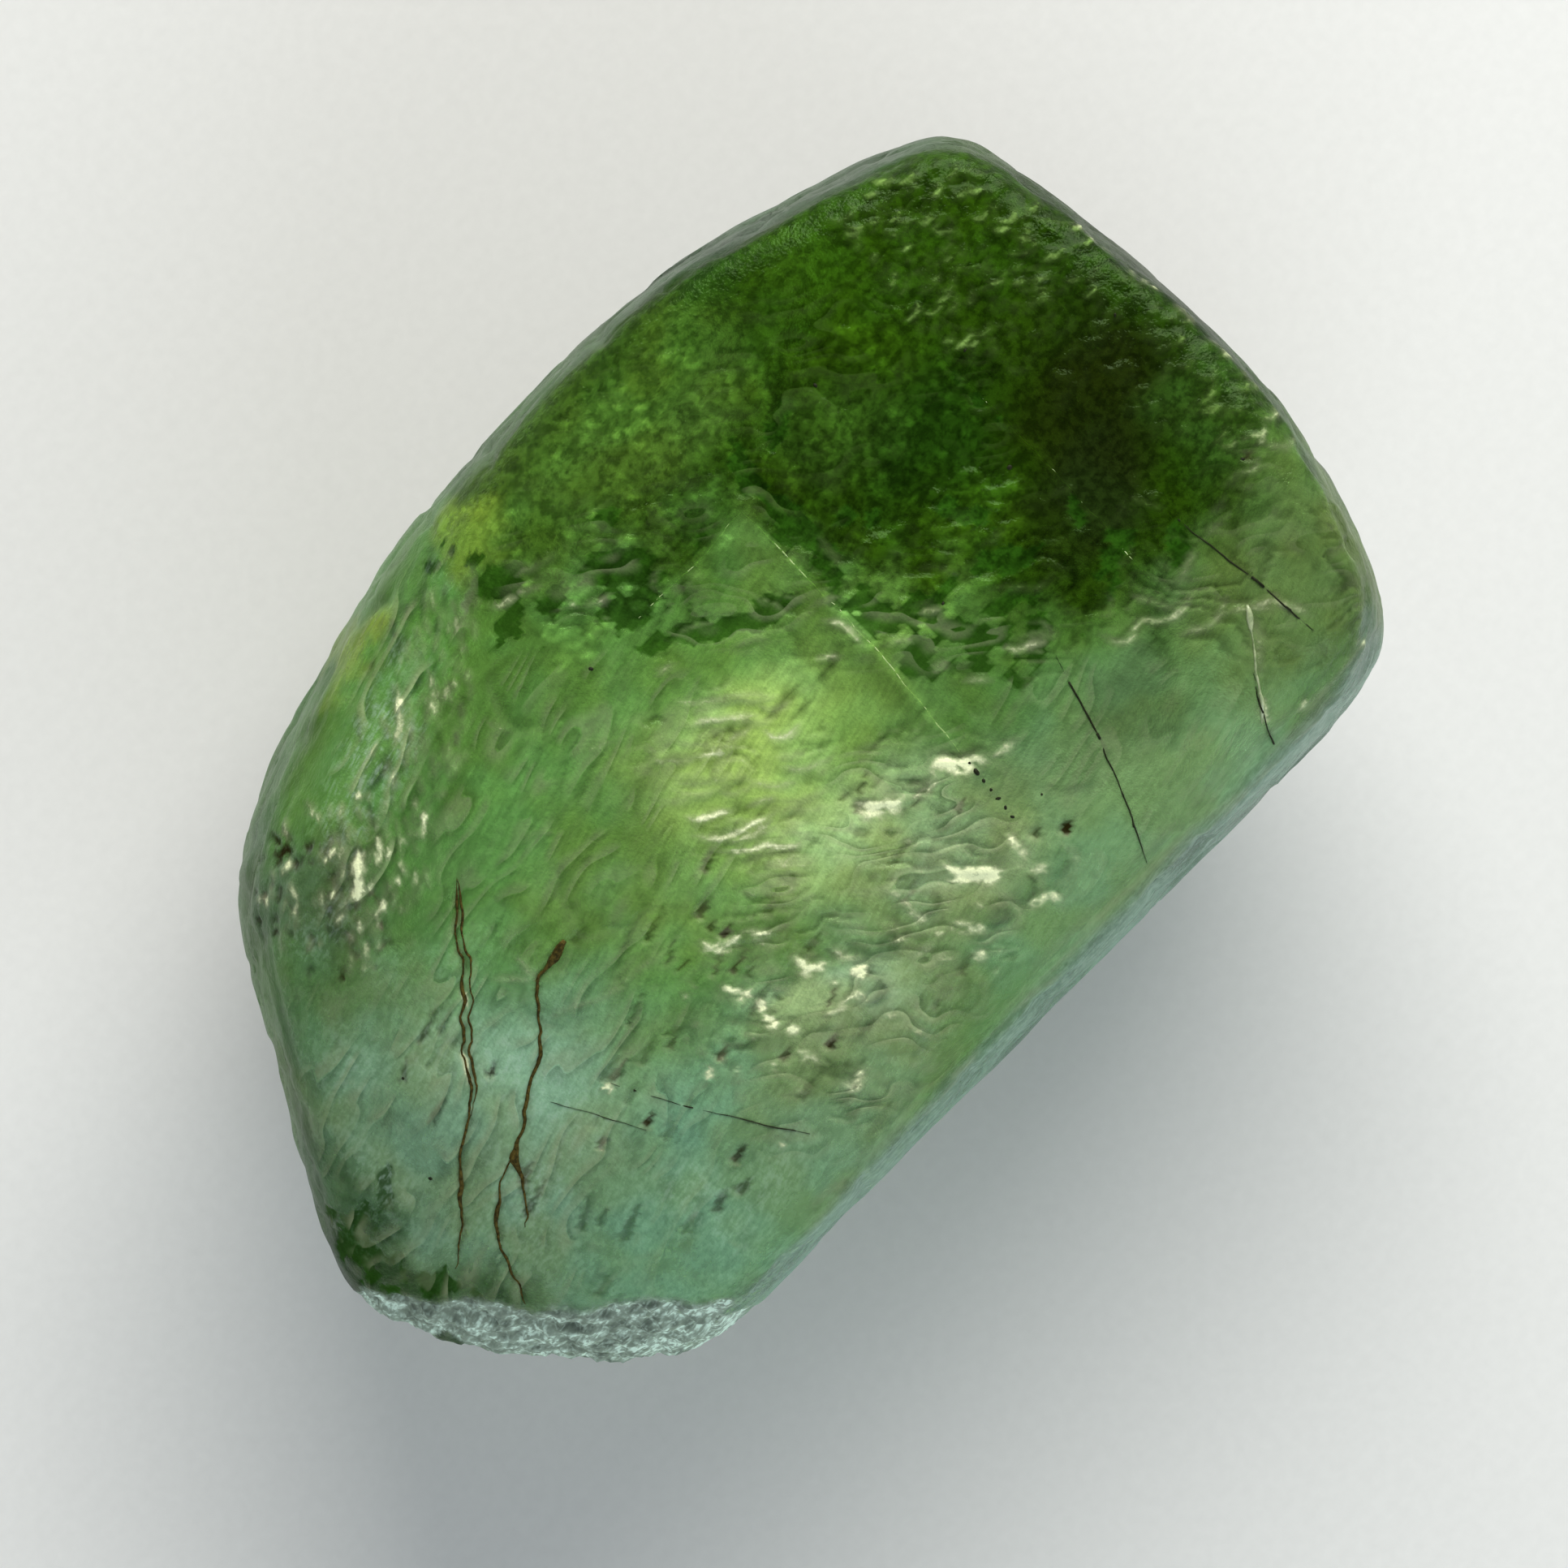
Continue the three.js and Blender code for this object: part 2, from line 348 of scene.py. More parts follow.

# Ragged edges of the growth steps, painted as pale highlights with painted shade above, written the
# same way.
STEP_EDGE_GLINTS = [
    (0.11, 0.75, [(56.5, 19.5), (58.5, 18), (60.5, 18), (62, 20), (63.5, 21.5), (66.5, 21.5),
                  (69, 22.5), (70.5, 24.5), (71, 26)]),
    (0.10, 0.40, [(61, 25.5), (63.5, 24.5), (66.5, 23.5), (68.5, 23.5)]),
    (0.07, 0.60, [(68, 27), (69.5, 28.5), (70.5, 30.5), (71.5, 32.5)]),
    (0.06, 0.45, [(59.5, 30), (61, 31), (62, 33)]),
    (0.07, 0.70, [(61, 40.5), (62.5, 39.5), (64.5, 39), (66, 38.5)]),
    (0.05, 0.50, [(64.5, 39.5), (65, 41.5)]),
    (0.05, 0.45, [(58, 36), (59.5, 37.5), (60.5, 40)]),
    (0.06, 0.50, [(49.5, 40.5), (51, 41.5), (52.5, 42)]),
    (0.16, 0.35, [(69, 19.5), (72.5, 20.5), (75, 22.5), (76, 25)]),
    (0.09, 0.50, [(75.5, 22), (78.5, 23.5), (81.5, 23.5), (84.5, 24)]),
    (0.09, 0.50, [(74.5, 42), (76.5, 42.5), (78, 44), (80, 44.5), (81, 46.5)]),
    (0.06, 0.40, [(78, 42), (79.5, 41.5), (80.5, 42)]),
    (0.06, 0.45, [(73.5, 38), (75, 39), (76, 41)]),
    (0.06, 0.45, [(72.5, 34.5), (74, 36), (75.5, 36.5)]),
    (0.06, 0.55, [(78.5, 48), (79, 49.5), (80, 49.5), (81, 48.5)]),
    (0.07, 0.50, [(81, 48.5), (83, 48), (85, 48), (86.5, 49), (89, 48.5)]),
    (0.06, 0.50, [(65.5, 57.5), (66.5, 59), (67.5, 61.5)]),
    (0.08, 0.45, [(72.5, 55.5), (74, 57), (74.5, 59.5)]),
    (0.10, 0.75, [(42, 17.5), (44, 17), (46.5, 18), (48, 18)]),
    (0.08, 0.70, [(36, 12), (38, 12.5), (40, 12.5)]),
    (0.07, 0.60, [(39.5, 26), (43, 26.5), (47, 26.5), (49, 27.5), (50, 29.5)]),
    (0.08, 0.60, [(38.5, 33), (40.5, 34), (42, 35.5)]),
    (0.09, 0.75, [(29, 22.5), (31, 23), (32.5, 23.5)]),
    (0.08, 0.45, [(23.5, 17.5), (25.5, 18.5), (28, 18)]),
    (0.07, 0.55, [(31, 14), (32.5, 15), (33.5, 14.5)]),
    (0.08, 0.35, [(28.5, 29), (31.5, 29.5), (34.5, 28.5)]),
    (0.08, 0.35, [(14, 34.5), (15.5, 32), (17.5, 30)]),
    (0.08, 0.50, [(-32.5, 28.5), (-29.5, 30), (-26.5, 32)]),
    (0.10, 1.00, [(-36.5, 24), (-35, 24), (-33, 25.5)]),
    (0.07, 0.55, [(-33, 25.5), (-31, 26.5), (-29, 27)]),
    (0.10, 0.85, [(-24.5, 24), (-23.5, 23.5)]),
    (0.07, 0.50, [(-22.5, 23.5), (-20, 24.5), (-18.5, 25.5)]),
    (0.07, 0.60, [(-11.5, 13), (-9.5, 14), (-8, 15)]),
    (0.06, 0.45, [(-37, 6), (-35.5, 5), (-34, 5)]),
    (0.07, 0.40, [(-23, 0.5), (-20, 2), (-17.5, 3)]),
    (0.07, 0.60, [(-13, 2), (-11, 1)]),
    (0.07, 0.55, [(-11, -0.5), (-10, -1)]),
    (0.05, 0.35, [(-32, -12.5), (-29.5, -11), (-27, -11)]),
    (0.07, 0.45, [(-27.5, -40.5), (-25, -38), (-20.5, -36.5), (-17.5, -35), (-15.5, -33),
                  (-12, -30.5), (-8, -27)]),
    (0.07, 0.70, [(-32.5, -30), (-31.5, -31.5), (-30, -33.5)]),
    (0.07, 0.60, [(-36, -33.5), (-32.5, -33.5), (-30, -33.5)]),
    (0.09, 0.90, [(32.5, 70), (32, 69)]),
]

# Dark leaf-like patches: middle, half length and half width in mm, turn in degrees off the steps.
LEAVES = [
    (7, 23.5, 0.95, 0.42, 8),
    (3, 21, 0.7, 0.38, 15),
    (-2.5, 20.5, 0.95, 0.45, 20),
    (-10, 18, 0.75, 0.42, 10),
    (-16.5, 22, 0.8, 0.4, -10),
    (-19.5, 29.5, 0.75, 0.5, 20),
    (-14, 28.5, 0.5, 0.4, 0),
    (-12, 26.5, 0.7, 0.35, 35),
    (8, 37, 1.1, 0.42, -38),
    (12.5, 33.5, 0.7, 0.4, -30),
    (20, 24.5, 0.9, 0.5, -25),
    (24, 21.5, 0.6, 0.4, 0),
    (31.5, 25.5, 0.6, 0.32, 40),
    (34.5, 20, 0.8, 0.5, -40),
    (39.5, 17.5, 0.8, 0.5, 30),
    (42.5, 31, 1.1, 0.4, 20),
    (36.5, 37.5, 0.8, 0.35, -20),
    (19, 37.5, 0.8, 0.35, 0),
    (2.5, 43.5, 0.9, 0.35, -75),
    (7.5, 50, 0.8, 0.3, 85),
    (59, 31, 0.8, 0.5, 60),
    (68.5, 32.5, 0.8, 0.35, 75),
    (43.5, 24, 0.8, 0.35, 20),
    (53.5, 37.5, 0.5, 0.2, -60),
    (37.5, 55.5, 1.3, 0.16, -47),
    (-56.5, -74.5, 1.3, 0.7, -60),
    (-45, -80.5, 1.4, 0.45, -20),
    (-53, -66, 0.5, 0.28, 90),
    (14, 30, 0.4, 0.25, 0),
]

# Narrow caves in and round the glow, darkened with painted shade: half width in mm, how dark, and
# their stops.
CAVE_SHADE = [
    (0.16, 0.9, [(-3.5, 2.5), (-1.5, 4), (1, 4.5)]),
    (0.13, 0.8, [(-1, 2.5), (1.5, 4), (3, 6)]),
    (0.17, 1.0, [(5.5, 6.5), (8, 9), (10.5, 11.5)]),
    (0.12, 0.9, [(9, 6), (11, 8), (12.5, 10.5)]),
    (0.14, 1.0, [(12.5, 11.5), (15.5, 14.5), (17, 17.5)]),
    (0.10, 0.8, [(18.5, -1.5), (22, 2), (26, 5.5)]),
    (0.12, 0.7, [(-13.5, 5), (-11.5, 6.5), (-9.5, 5.5)]),
    (0.10, 0.7, [(3, -9), (5, -8), (6.5, -6)]),
    (0.12, 0.7, [(8, -9.5), (10, -8), (11.5, -5.5)]),
    (0.14, 0.8, [(-6.5, -25), (-4.5, -22), (-3, -19)]),
    (0.10, 0.7, [(0, -8.5), (2, -7.5), (3.5, -6)]),
    (0.12, 0.7, [(24, 3), (27.5, 6), (31, 9)]),
    (0.09, 0.8, [(-19, -35), (-16.5, -30), (-14, -24), (-11.5, -19)]),
    (0.08, 0.7, [(-26, -22), (-23, -17), (-21, -12)]),
    (0.08, 0.6, [(-32, -4), (-29.5, 1), (-27.5, 6)]),
    (0.08, 0.7, [(-17.5, -46), (-15, -41), (-13.5, -37)]),
    (0.10, 0.8, [(-25, -8), (-22, -3), (-20, 1)]),
]

# Low D-shaped shields, shown by painted shade and a painted highlight on their rims: middle, length
# and width in mm, turn in degrees off the steps, strength.
SHIELDS = [
    (28.5, -21, 1.5, 0.95, -10, 0.9),
    (38, -23, 1.8, 0.95, -5, 1.0),
    (43.5, -19, 1.3, 1.0, -15, 0.9),
    (49, -15.5, 1.1, 0.95, -10, 0.8),
    (20.5, -35, 1.2, 0.9, -15, 0.9),
    (17.5, -40, 1.5, 1.1, 0, 0.7),
    (12.5, -40, 1.2, 0.8, 0, 0.6),
    (0.5, -31.5, 1.3, 0.9, 50, 0.7),
    (4, -20.5, 2.4, 1.6, 45, 0.5),
    (27.5, -15.5, 1.6, 1.1, 30, 0.5),
    (37, -13.5, 1.6, 0.8, 0, 0.6),
    (23, -27.5, 1.2, 0.8, 10, 0.6),
    (34, -35.5, 1.6, 1.2, -10, 0.45),
    (37.5, -4, 1.6, 1.0, 20, 0.4),
    (20, -2, 1.6, 0.9, 35, 0.5),
    (5, -43.5, 1.4, 0.9, 45, 0.5),
    (26.5, -43, 1.3, 0.9, 0, 0.45),
    (14, -26.5, 1.2, 0.8, 20, 0.5),
    (7.5, -23, 1.4, 0.9, 45, 0.4),
    (-16, -12, 5.6, 3.4, -115, 0.50),
    (2.2, -21, 2.8, 2.2, -60, 0.50),
    (22, -1, 2.4, 1.9, -90, 0.60),
    (36, -12, 2.8, 1.9, -30, 0.45),
    (5.4, -30.6, 2.0, 1.3, -20, 0.60),
    (20, -22.6, 3.2, 2.2, 40, 0.40),
    (-5, -38.7, 2.6, 1.6, 60, 0.45),
    (-26, -30, 4.2, 2.6, -100, 0.35),
    (48, 2, 3.6, 2.4, -20, 0.35),
    (-30, 14, 3.4, 2.2, -100, 0.40),
]

# The crystal's colours, in linear red, green and blue. Patches are: what they make, middle for
# place(), reach along and across in mm, turn in degrees, colour and strength.
MID_GREEN = (0.166, 0.380, 0.072)      # the ground colour of the clear part
CLEAR_PATCHES = [
    ("teal of the broken end", (-0.70, -0.33), (8.0, 9.0), 0, (0.310, 0.520, 0.305), 1.0),
    ("teal under the seams", (-0.45, -0.72), (6.0, 4.2), 0, (0.330, 0.640, 0.370), 0.9),
    ("milky front", (-0.12, -0.62), (7.5, 5.0), 30, (0.355, 0.540, 0.250), 0.9),
    ("straight side", (0.38, -0.78), (10.0, 5.0), 0, (0.355, 0.625, 0.285), 0.9),
    ("clear corner", (0.82, -0.70), (5.0, 4.2), 0, (0.200, 0.320, 0.090), 0.9),
    ("pitted side", (-0.30, 0.31), (6.5, 4.6), 0, (0.178, 0.410, 0.095), 0.9),
    # the glow, its heart and its foot, and the two cream patches after them are painted light
    ("glow", (0.02, -0.12), (6.8, 6.2), 20, (0.190, 0.360, 0.085), 1.0),
    ("heart of the glow", (0.01, 0.04), (3.4, 2.6), -30, (0.385, 0.590, 0.155), 0.8),
    ("foot of the glow", (0.02, -0.29), (3.8, 2.0), -40, (0.340, 0.490, 0.150), 0.8),
    ("cream over the glow's foot", (0.14, -0.63), (2.6, 1.4), -45, (0.640, 0.880, 0.440), 0.8),
    ("cream of the broken shields", (-0.16, -0.60), (3.2, 1.6), -40, (0.580, 0.830, 0.420), 0.8),
    ("edge of the broken end", (-0.94, -0.30), (1.5, 5.0), -14, (0.042, 0.100, 0.030), 0.95),
    ("green over the fracture", (-0.86, -0.50), (2.2, 2.2), 0, (0.045, 0.120, 0.038), 0.9),
    ("before the pits", (-0.24, -0.07), (3.8, 2.4), -45, (0.270, 0.500, 0.140), 0.6),
    ("shields", (0.13, -0.46), (4.8, 3.0), -45, (0.450, 0.660, 0.270), 0.75),
    ("beside the dark end", (0.53, -0.58), (2.4, 1.8), 0, (0.120, 0.210, 0.070), 0.7),
    ("stained cluster", (-0.62, 0.49), (2.8, 3.0), 0, (0.155, 0.270, 0.113), 0.9),
    ("bright strip", (-0.26, 0.72), (5.6, 1.7), 24, (0.170, 0.450, 0.080), 1.0),
    ("second yellow spot", (-0.31, 0.83), (1.5, 1.0), 30, (0.400, 0.600, 0.080), 0.9),
    ("yellow spot", (-0.05, 0.84), (1.3, 1.2), 0, (0.300, 0.520, 0.060), 1.0),
    ("inside the tent", (0.25, 0.27), (2.6, 1.9), 0, (0.260, 0.500, 0.105), 0.7),
]
OLIVE = (0.032, 0.088, 0.004)          # the ground colour of the dark end
DARK_PATCHES = [
    ("upper side", (0.21, 0.82), (6.0, 3.6), 0, (0.106, 0.226, 0.030), 0.9),
    ("haze along the upper side", (0.50, 0.92), (8.0, 1.3), 0, (0.032, 0.092, 0.008), 0.7),
    ("green heart", (0.55, 0.17), (3.2, 2.8), 0, (0.020, 0.068, 0.004), 0.9),
    ("over the tent", (0.45, 0.41), (2.8, 2.2), -45, (0.054, 0.140, 0.014), 0.7),
    ("brown heart", (0.81, -0.02), (3.2, 3.4), 0, (0.019, 0.033, 0.003), 0.95),
    ("foot of the brown heart", (0.70, -0.16), (2.6, 1.8), 0, (0.020, 0.036, 0.006), 0.9),
    ("apex", (0.76, 0.60), (5.4, 4.4), 0, (0.044, 0.128, 0.005), 0.9),
    ("end of the dark part", (0.93, -0.28), (2.6, 3.2), 0, (0.066, 0.172, 0.022), 0.8),
    ("yellow spot", (-0.05, 0.84), (1.3, 1.2), 0, (0.300, 0.520, 0.060), 1.0),
]
GLINT_CREAM = (0.88, 0.94, 0.58)             # painted highlight on breaks that catch the light
GLINT_GREEN = (0.17, 0.29, 0.07)        # the same painted highlights, over the dark end
# white etch frost, and the painted sparkle that uses the same white
FROST_AND_SPARKLE_WHITE = (0.56, 0.72, 0.62)
FRACTURE_GREY = (0.20, 0.25, 0.20)
# painted cool sheen on the rims
RIM_SHEEN_BLUE = (0.22, 0.34, 0.29)
RUST = (0.055, 0.046, 0.008)
NOSE_BROWN = (0.020, 0.017, 0.003)
LEAF_GREEN = (0.016, 0.060, 0.004)

# White etch frost: middle for place(), reach in mm, turn in degrees, strength. It lies on the teal
# broken end, the stained cluster, the bright strip and the milky front.
FROST_PATCHES = [
    ((-0.66, -0.15), (5.5, 7.0), 0, 0.70),
    ((-0.50, -0.72), (5.0, 3.4), 0, 0.60),
    ((-0.62, 0.49), (2.2, 2.4), 0, 0.50),
    ((-0.34, 0.66), (6.0, 1.6), 24, 0.80),
    ((-0.05, -0.60), (6.5, 3.8), 30, 0.25),
]

# The cover is how much of the skin isn't clear glass, from 0 to 1.
FRONT_COVER = 0.40
FROST_COVER = 0.25                     # added where it is frosted
# more skin over the glow, which carries its painted light
GLOW_COVER = 0.60
SIDE_COVER = 0.52
BACK_COVER = 0.23                      # added on what faces down
FRACTURE_COVER = 0.9

STRIP_END = -0.36                      # below this run the marks climb, in half lengths

# The rough broken end starts this far down the climb, and is whole at the second measure.
FRACTURE_START = 15.75 * MM
FRACTURE_WHOLE = 16.25 * MM

REST_MIDDLE = (-0.21, -0.10)           # where the flat rest face is, and its reach in mm
REST_REACH = (9.0, 6.2)
REST_GAIN = 0.5                        # the crystal is paler there, to make up for the dim light
REST_THINNING = 0.5                    # and its tint is taken to a lower power
FLOOR_LIGHT = 0.40                     # how much light comes back up through clear glass


# ------------------------------------------------------------------ the crystal's surface

class Surface:
    """What growth and etching left on the crystal, with its painted highlights, shade and light,
    one value per mesh point.
    """

    def __init__(self, mesh):
        self.points = read_points(mesh)
        self.normals = read_normals(mesh)
        self.plan = self.points[:, :2]
        self.front = smoothstep(FRONT_LEAN, 0.75, self.normals[:, 2])
        count = len(self.points)
        self.rise = np.zeros(count)        # how far the skin is raised, in metres
        self.hollow = np.zeros(count)      # how deep pits and grooves are, in metres
        self.glint_and_pale_glass = np.zeros(count)       # painted highlights on breaks that catch the light, and pale broken glass
        self.shade = np.zeros(count)       # near-black noses of deep pits
        self.painted_shade_and_dark_tone = np.zeros(count)        # painted shade under edges and in grooves, and darker tones
        self.leaf = np.zeros(count)        # dark leaf-like patches, 0.5 at their edge
        self.light = np.zeros(count)       # painted light: drops and streaks made paler than the glass round them
        self.rust = np.zeros(count)
        # white etch frost, and painted sparkle on the broken end and the straight side
        self.frost_and_sparkle = np.zeros(count)
        self.cover = np.full(count, FRONT_COVER)
        self.colour = np.tile(MID_GREEN, (count, 1))

    # ---- single marks

    def near(self, middle, reach):
        """The front's points in a square round a middle."""
        return np.nonzero((np.abs(self.plan - middle) < reach).all(axis=1) & (self.front > 0))[0]

    def raise_to(self, layer, spots, values):
        layer[spots] = np.maximum(layer[spots], values)

    def beside(self, line, reach):
        """The points near a line, how far off it they are, and how far along it, 0 to 1."""
        low, high = line.min(axis=0) - reach, line.max(axis=0) + reach
        inside = (self.plan > low).all(axis=1) & (self.plan < high).all(axis=1)
        spots = np.nonzero(inside & (self.front > 0))[0]
        gaps = np.linalg.norm(self.plan[spots][:, None] - line[None], axis=2)
        nearest = gaps.argmin(axis=1) if len(spots) else np.zeros(0)
        closest = gaps.min(axis=1) if len(spots) else np.zeros(0)
        return spots, closest, nearest / (len(line) - 1)

    def stroke(self, layer, stops, width, strength, seed, lift=0.0, grainy=0.0):
        """A curved mark of uneven width that runs out at both ends, broken up by fine grains."""
        strength *= min(1, width / THINNEST_STROKE) ** 0.5
        width = max(width, THINNEST_STROKE)
        line = smooth_path(stops, 0.08 * MM, 0.05 * MM, seed)
        spots, gap, part = self.beside(line, 3 * width)
        ends = smoothstep(-0.05, 0.25, part) * smoothstep(1.05, 0.75, part)
        uneven = 1 + 0.4 * lattice_noise(self.points[spots], 0.35 * MM, seed + 7)
        mark = bell(gap, width * (0.4 + 0.6 * ends) * uneven) * (0.5 + 0.5 * ends)
        if grainy:
            grains = smoothstep(-0.1, 0.5, lattice_noise(self.points[spots], GRAIN_SIZE, seed + 11))
            mark = mark * (1 - grainy * grains)
        self.raise_to(layer, spots, strength * mark)
        self.rise[spots] += lift * mark

    def straight(self, layer, middle, way, length, width, strength, seed, lift, bow):
        """A short stroke along an azimuth, straight or bowed like a smile."""
        sweep = np.linspace(-0.5, 0.5, 5)[:, None]
        side = heading(way + math.pi / 2)
        stops = middle + heading(way) * length * sweep + side * bow * length * 4 * sweep ** 2
        self.stroke(layer, stops, width, strength, seed, lift)

    def pit(self, nose, way, length, width, depth, bright, dark):
        """A drop-shaped etch pit: steep and deep at its blunt nose, running out behind it."""
        spots = self.near(nose, length + width)
        if not len(spots):
            return
        back, side = turned(self.plan[spots] - nose, way)
        blunt = width * 0.9
        out = np.hypot(np.minimum((back - blunt) / blunt, 0), side / width)
        tail = np.clip((back - blunt) / (length - blunt), 0, 1)
        half = width * (1 - tail ** 1.6) + 1e-9
        across = np.where(back < blunt, out, np.abs(side) / half)
        bowl = np.clip(1 - across ** 2, 0, 1) ** 0.6 * (1 - tail) ** 1.1
        self.raise_to(self.hollow, spots, np.where(back > 0, depth * bowl, 0))
        # a painted highlight on the lip round the nose, and near-black and painted shade down the
        # bowl
        nose_part = smoothstep(1.15 * blunt, 0.3 * blunt, back)
        lip = max(0.16, 0.07 * MM / width)
        self.raise_to(self.glint_and_pale_glass, spots, bright * bell(out - 1.08, lip) * nose_part)
        drop = np.where(back > 0, bowl, 0)
        self.raise_to(self.shade, spots, dark * smoothstep(0.0, 0.5, drop))
        self.raise_to(self.painted_shade_and_dark_tone, spots, 0.6 * dark * smoothstep(0.0, 0.3, drop))

    def shield(self, middle, way, length, width, strength, seed):
        """A low plate with painted shade darkening it towards its round end, a painted dark edge
        and a painted highlight on the rim there.
        """
        spots = self.near(middle, length)
        along, across = turned(self.plan[spots] - middle, way)
        warp = 0.10 * lattice_noise(self.points[spots], 0.5 * MM, seed)
        out = np.hypot(np.maximum(along, 0) / (0.5 * length), across / (0.5 * width)) + warp
        behind = smoothstep(-0.75 * length, -0.1 * length, along)
        ahead = smoothstep(0.02 * length, 0.35 * length, along)
        inside = smoothstep(1.06, 0.90, out) * behind
        shading = 0.35 + 0.65 * smoothstep(0.3, 1.0, out) * ahead
        edge = 0.11 * MM / (0.5 * width)
        rim_highlight = bell(out - 0.95 - 1.8 * edge, edge)
        self.raise_to(self.painted_shade_and_dark_tone, spots, 0.9 * strength * inside * shading)
        self.raise_to(self.painted_shade_and_dark_tone, spots, strength * bell(out - 0.95, edge) * ahead)
        self.raise_to(self.glint_and_pale_glass, spots, 0.45 * strength * rim_highlight * ahead)
        self.rise[spots] += 0.10 * MM * (0.3 + 0.7 * strength) * inside * (0.3 + 0.7 * ahead)

    def leafy(self, middle, way, length, width, seed):
        """A dark patch with a ragged outline."""
        spots = self.near(middle, 2 * length)
        along, across = turned(self.plan[spots] - middle, way)
        out = np.hypot(along / length, across / width)
        out += 0.80 * rough_noise(stretched(self.points[spots], ETCH_WAY, 1.6), 0.42 * MM, seed, 2)
        self.raise_to(self.leaf, spots, np.clip(1.45 - out, 0, 1))
        self.rise[spots] -= 0.05 * MM * smoothstep(1.1, 0.7, out)

    # ---- marks strewn over a patch

    def strewn(self, rng, count, middle, reach, tilt=0.0):
        """Random places in an oval patch that is turned by tilt degrees."""
        lean = math.radians(tilt)
        for _ in range(count):
            angle = rng.uniform(0, 2 * math.pi)
            along, across = heading(angle) * np.array(reach) * math.sqrt(rng.uniform(0, 1)) * MM
            yield middle + heading(lean) * along + heading(lean + math.pi / 2) * across

    def pit_field(self, rng, count, middle, reach, way, length, width, depth, bright, dark):
        """Pits in an oval patch. The last five are ranges: the first three of them are in mm."""
        for nose in self.strewn(rng, count, middle, reach):
            self.pit(
                nose,
                way + rng.normal(0, PIT_TURN),
                rng.uniform(*length) * MM,
                rng.uniform(*width) * MM,
                rng.uniform(*depth) * MM,
                rng.uniform(*bright),
                rng.uniform(*dark),
            )

    def stroke_field(self, rng, layer, count, middle, reach, way, length, width, strength,
                     turn, tilt=0.0, bow=0.0, lift=0.0):
        """Strokes in an oval patch. Length, width and strength are ranges; lengths are in mm."""
        for spot in self.strewn(rng, count, middle, reach, tilt):
            self.straight(
                layer,
                spot,
                way + rng.normal(0, turn),
                rng.uniform(*length) * MM,
                rng.uniform(*width) * MM,
                rng.uniform(*strength),
                int(rng.integers(1, 9999)),
                lift * MM,
                bow * rng.uniform(0.5, 1.3),
            )

    # ---- fields

    def waves(self):
        """Long gentle swells, fine etch streaks over the front, scoops in the sides and back."""
        swell = lattice_noise(self.points, 5.5 * MM, 1) * 0.10
        swell += lattice_noise(self.points, 2.2 * MM, 2) * 0.03
        drawn = stretched(self.points, ETCH_WAY, 5)
        streak = lattice_noise(drawn, 0.60 * MM, 7) * 0.024
        streak += lattice_noise(drawn, 0.34 * MM, 8) * 0.012
        fine = lattice_noise(self.points, 0.50 * MM, 9) * 0.014
        ridges = np.abs(lattice_noise(self.points, 2.4 * MM, 11)) + 0.4 * np.abs(
            lattice_noise(self.points, 1.1 * MM, 12))
        scoops = (smoothstep(0.0, 0.5, ridges) - 1) * 0.12 * (1 - self.front)
        self.rise += (swell + (streak + fine) * self.front + scoops) * MM

    def oval(self, middle, reach, tilt=0.0):
        """1 in the middle of an oval patch, fading to 0 at its rim."""
        return smoothstep(1.15, 0.6, off_oval(self.plan, middle, reach, tilt)) * self.front

    def scales(self, zone, way, period, grain, warp, draw, bright, dark, lift, seed):
        """Overlapping scales: each climbs to a crisp lip with a painted highlight, with painted
        shade on the step after it.

        The period, grain and lift are in mm. Warp is how far the scales wander, draw how far they
        are drawn out, bright and dark how strong the painted highlights on their lips and the
        painted shade on their steps are.
        """
        loose = rough_noise(stretched(self.points, way - math.pi / 2, draw), grain * MM, seed, 3)
        level = self.plan @ heading(way) / (period * MM) + warp * loose
        part = level - np.floor(level)
        patchy = smoothstep(-0.35, 0.35, lattice_noise(self.points, 1.2 * grain * MM, seed + 5))
        zone = zone * patchy
        broken = smoothstep(-0.4, 0.4, lattice_noise(self.points, 0.7 * grain * MM, seed + 6))
        self.rise += lift * MM * zone * np.where(part < 0.86, part / 0.86, (1 - part) / 0.14)
        self.glint_and_pale_glass = np.maximum(self.glint_and_pale_glass, bright * bell(part - 0.88, 0.10) * zone * broken)
        self.painted_shade_and_dark_tone = np.maximum(self.painted_shade_and_dark_tone, dark * smoothstep(0.55, 0.05, part) * zone)

    def growth_scales(self):
        """The scales that growth and etching left: hammered at the dark end, else plates."""
        climb = self.plan @ heading(CLIMB_WAY)
        run = self.plan @ heading(STEP_WAY)
        border = bell(climb - 5.0 * MM, 2.6 * MM) * smoothstep(-9.0 * MM, -4.0 * MM, run)
        border = border * self.front
        streaks = ETCH_WAY - math.pi / 2
        shielded = self.oval(at(22, -27), (7.5, 4.8), 15)
        smooth_heart = self.oval(place(0.80, -0.04), (3.4, 4.2))
        dark_end = self.oval(place(0.80, 0.14), (4.4, 8.8)) * (1 - smooth_heart)
        brushed = self.oval(at(-24, -10), (6.4, 5.8))
        broken_end = self.oval(at(-38, -54), (9.0, 7.5))
        glow = self.oval(at(1, -1), (3.2, 3.6), 15)
        right = self.oval(at(58, 0), (6.0, 4.4), -15)
        olive = np.maximum(
            self.oval(at(8, 50), (5.5, 3.6), 16),
            0.7 * self.oval(at(-18, 42), (5.0, 3.6), 16),
        )
        strip = self.oval(at(-51, 5), (7.6, 1.7), 31)

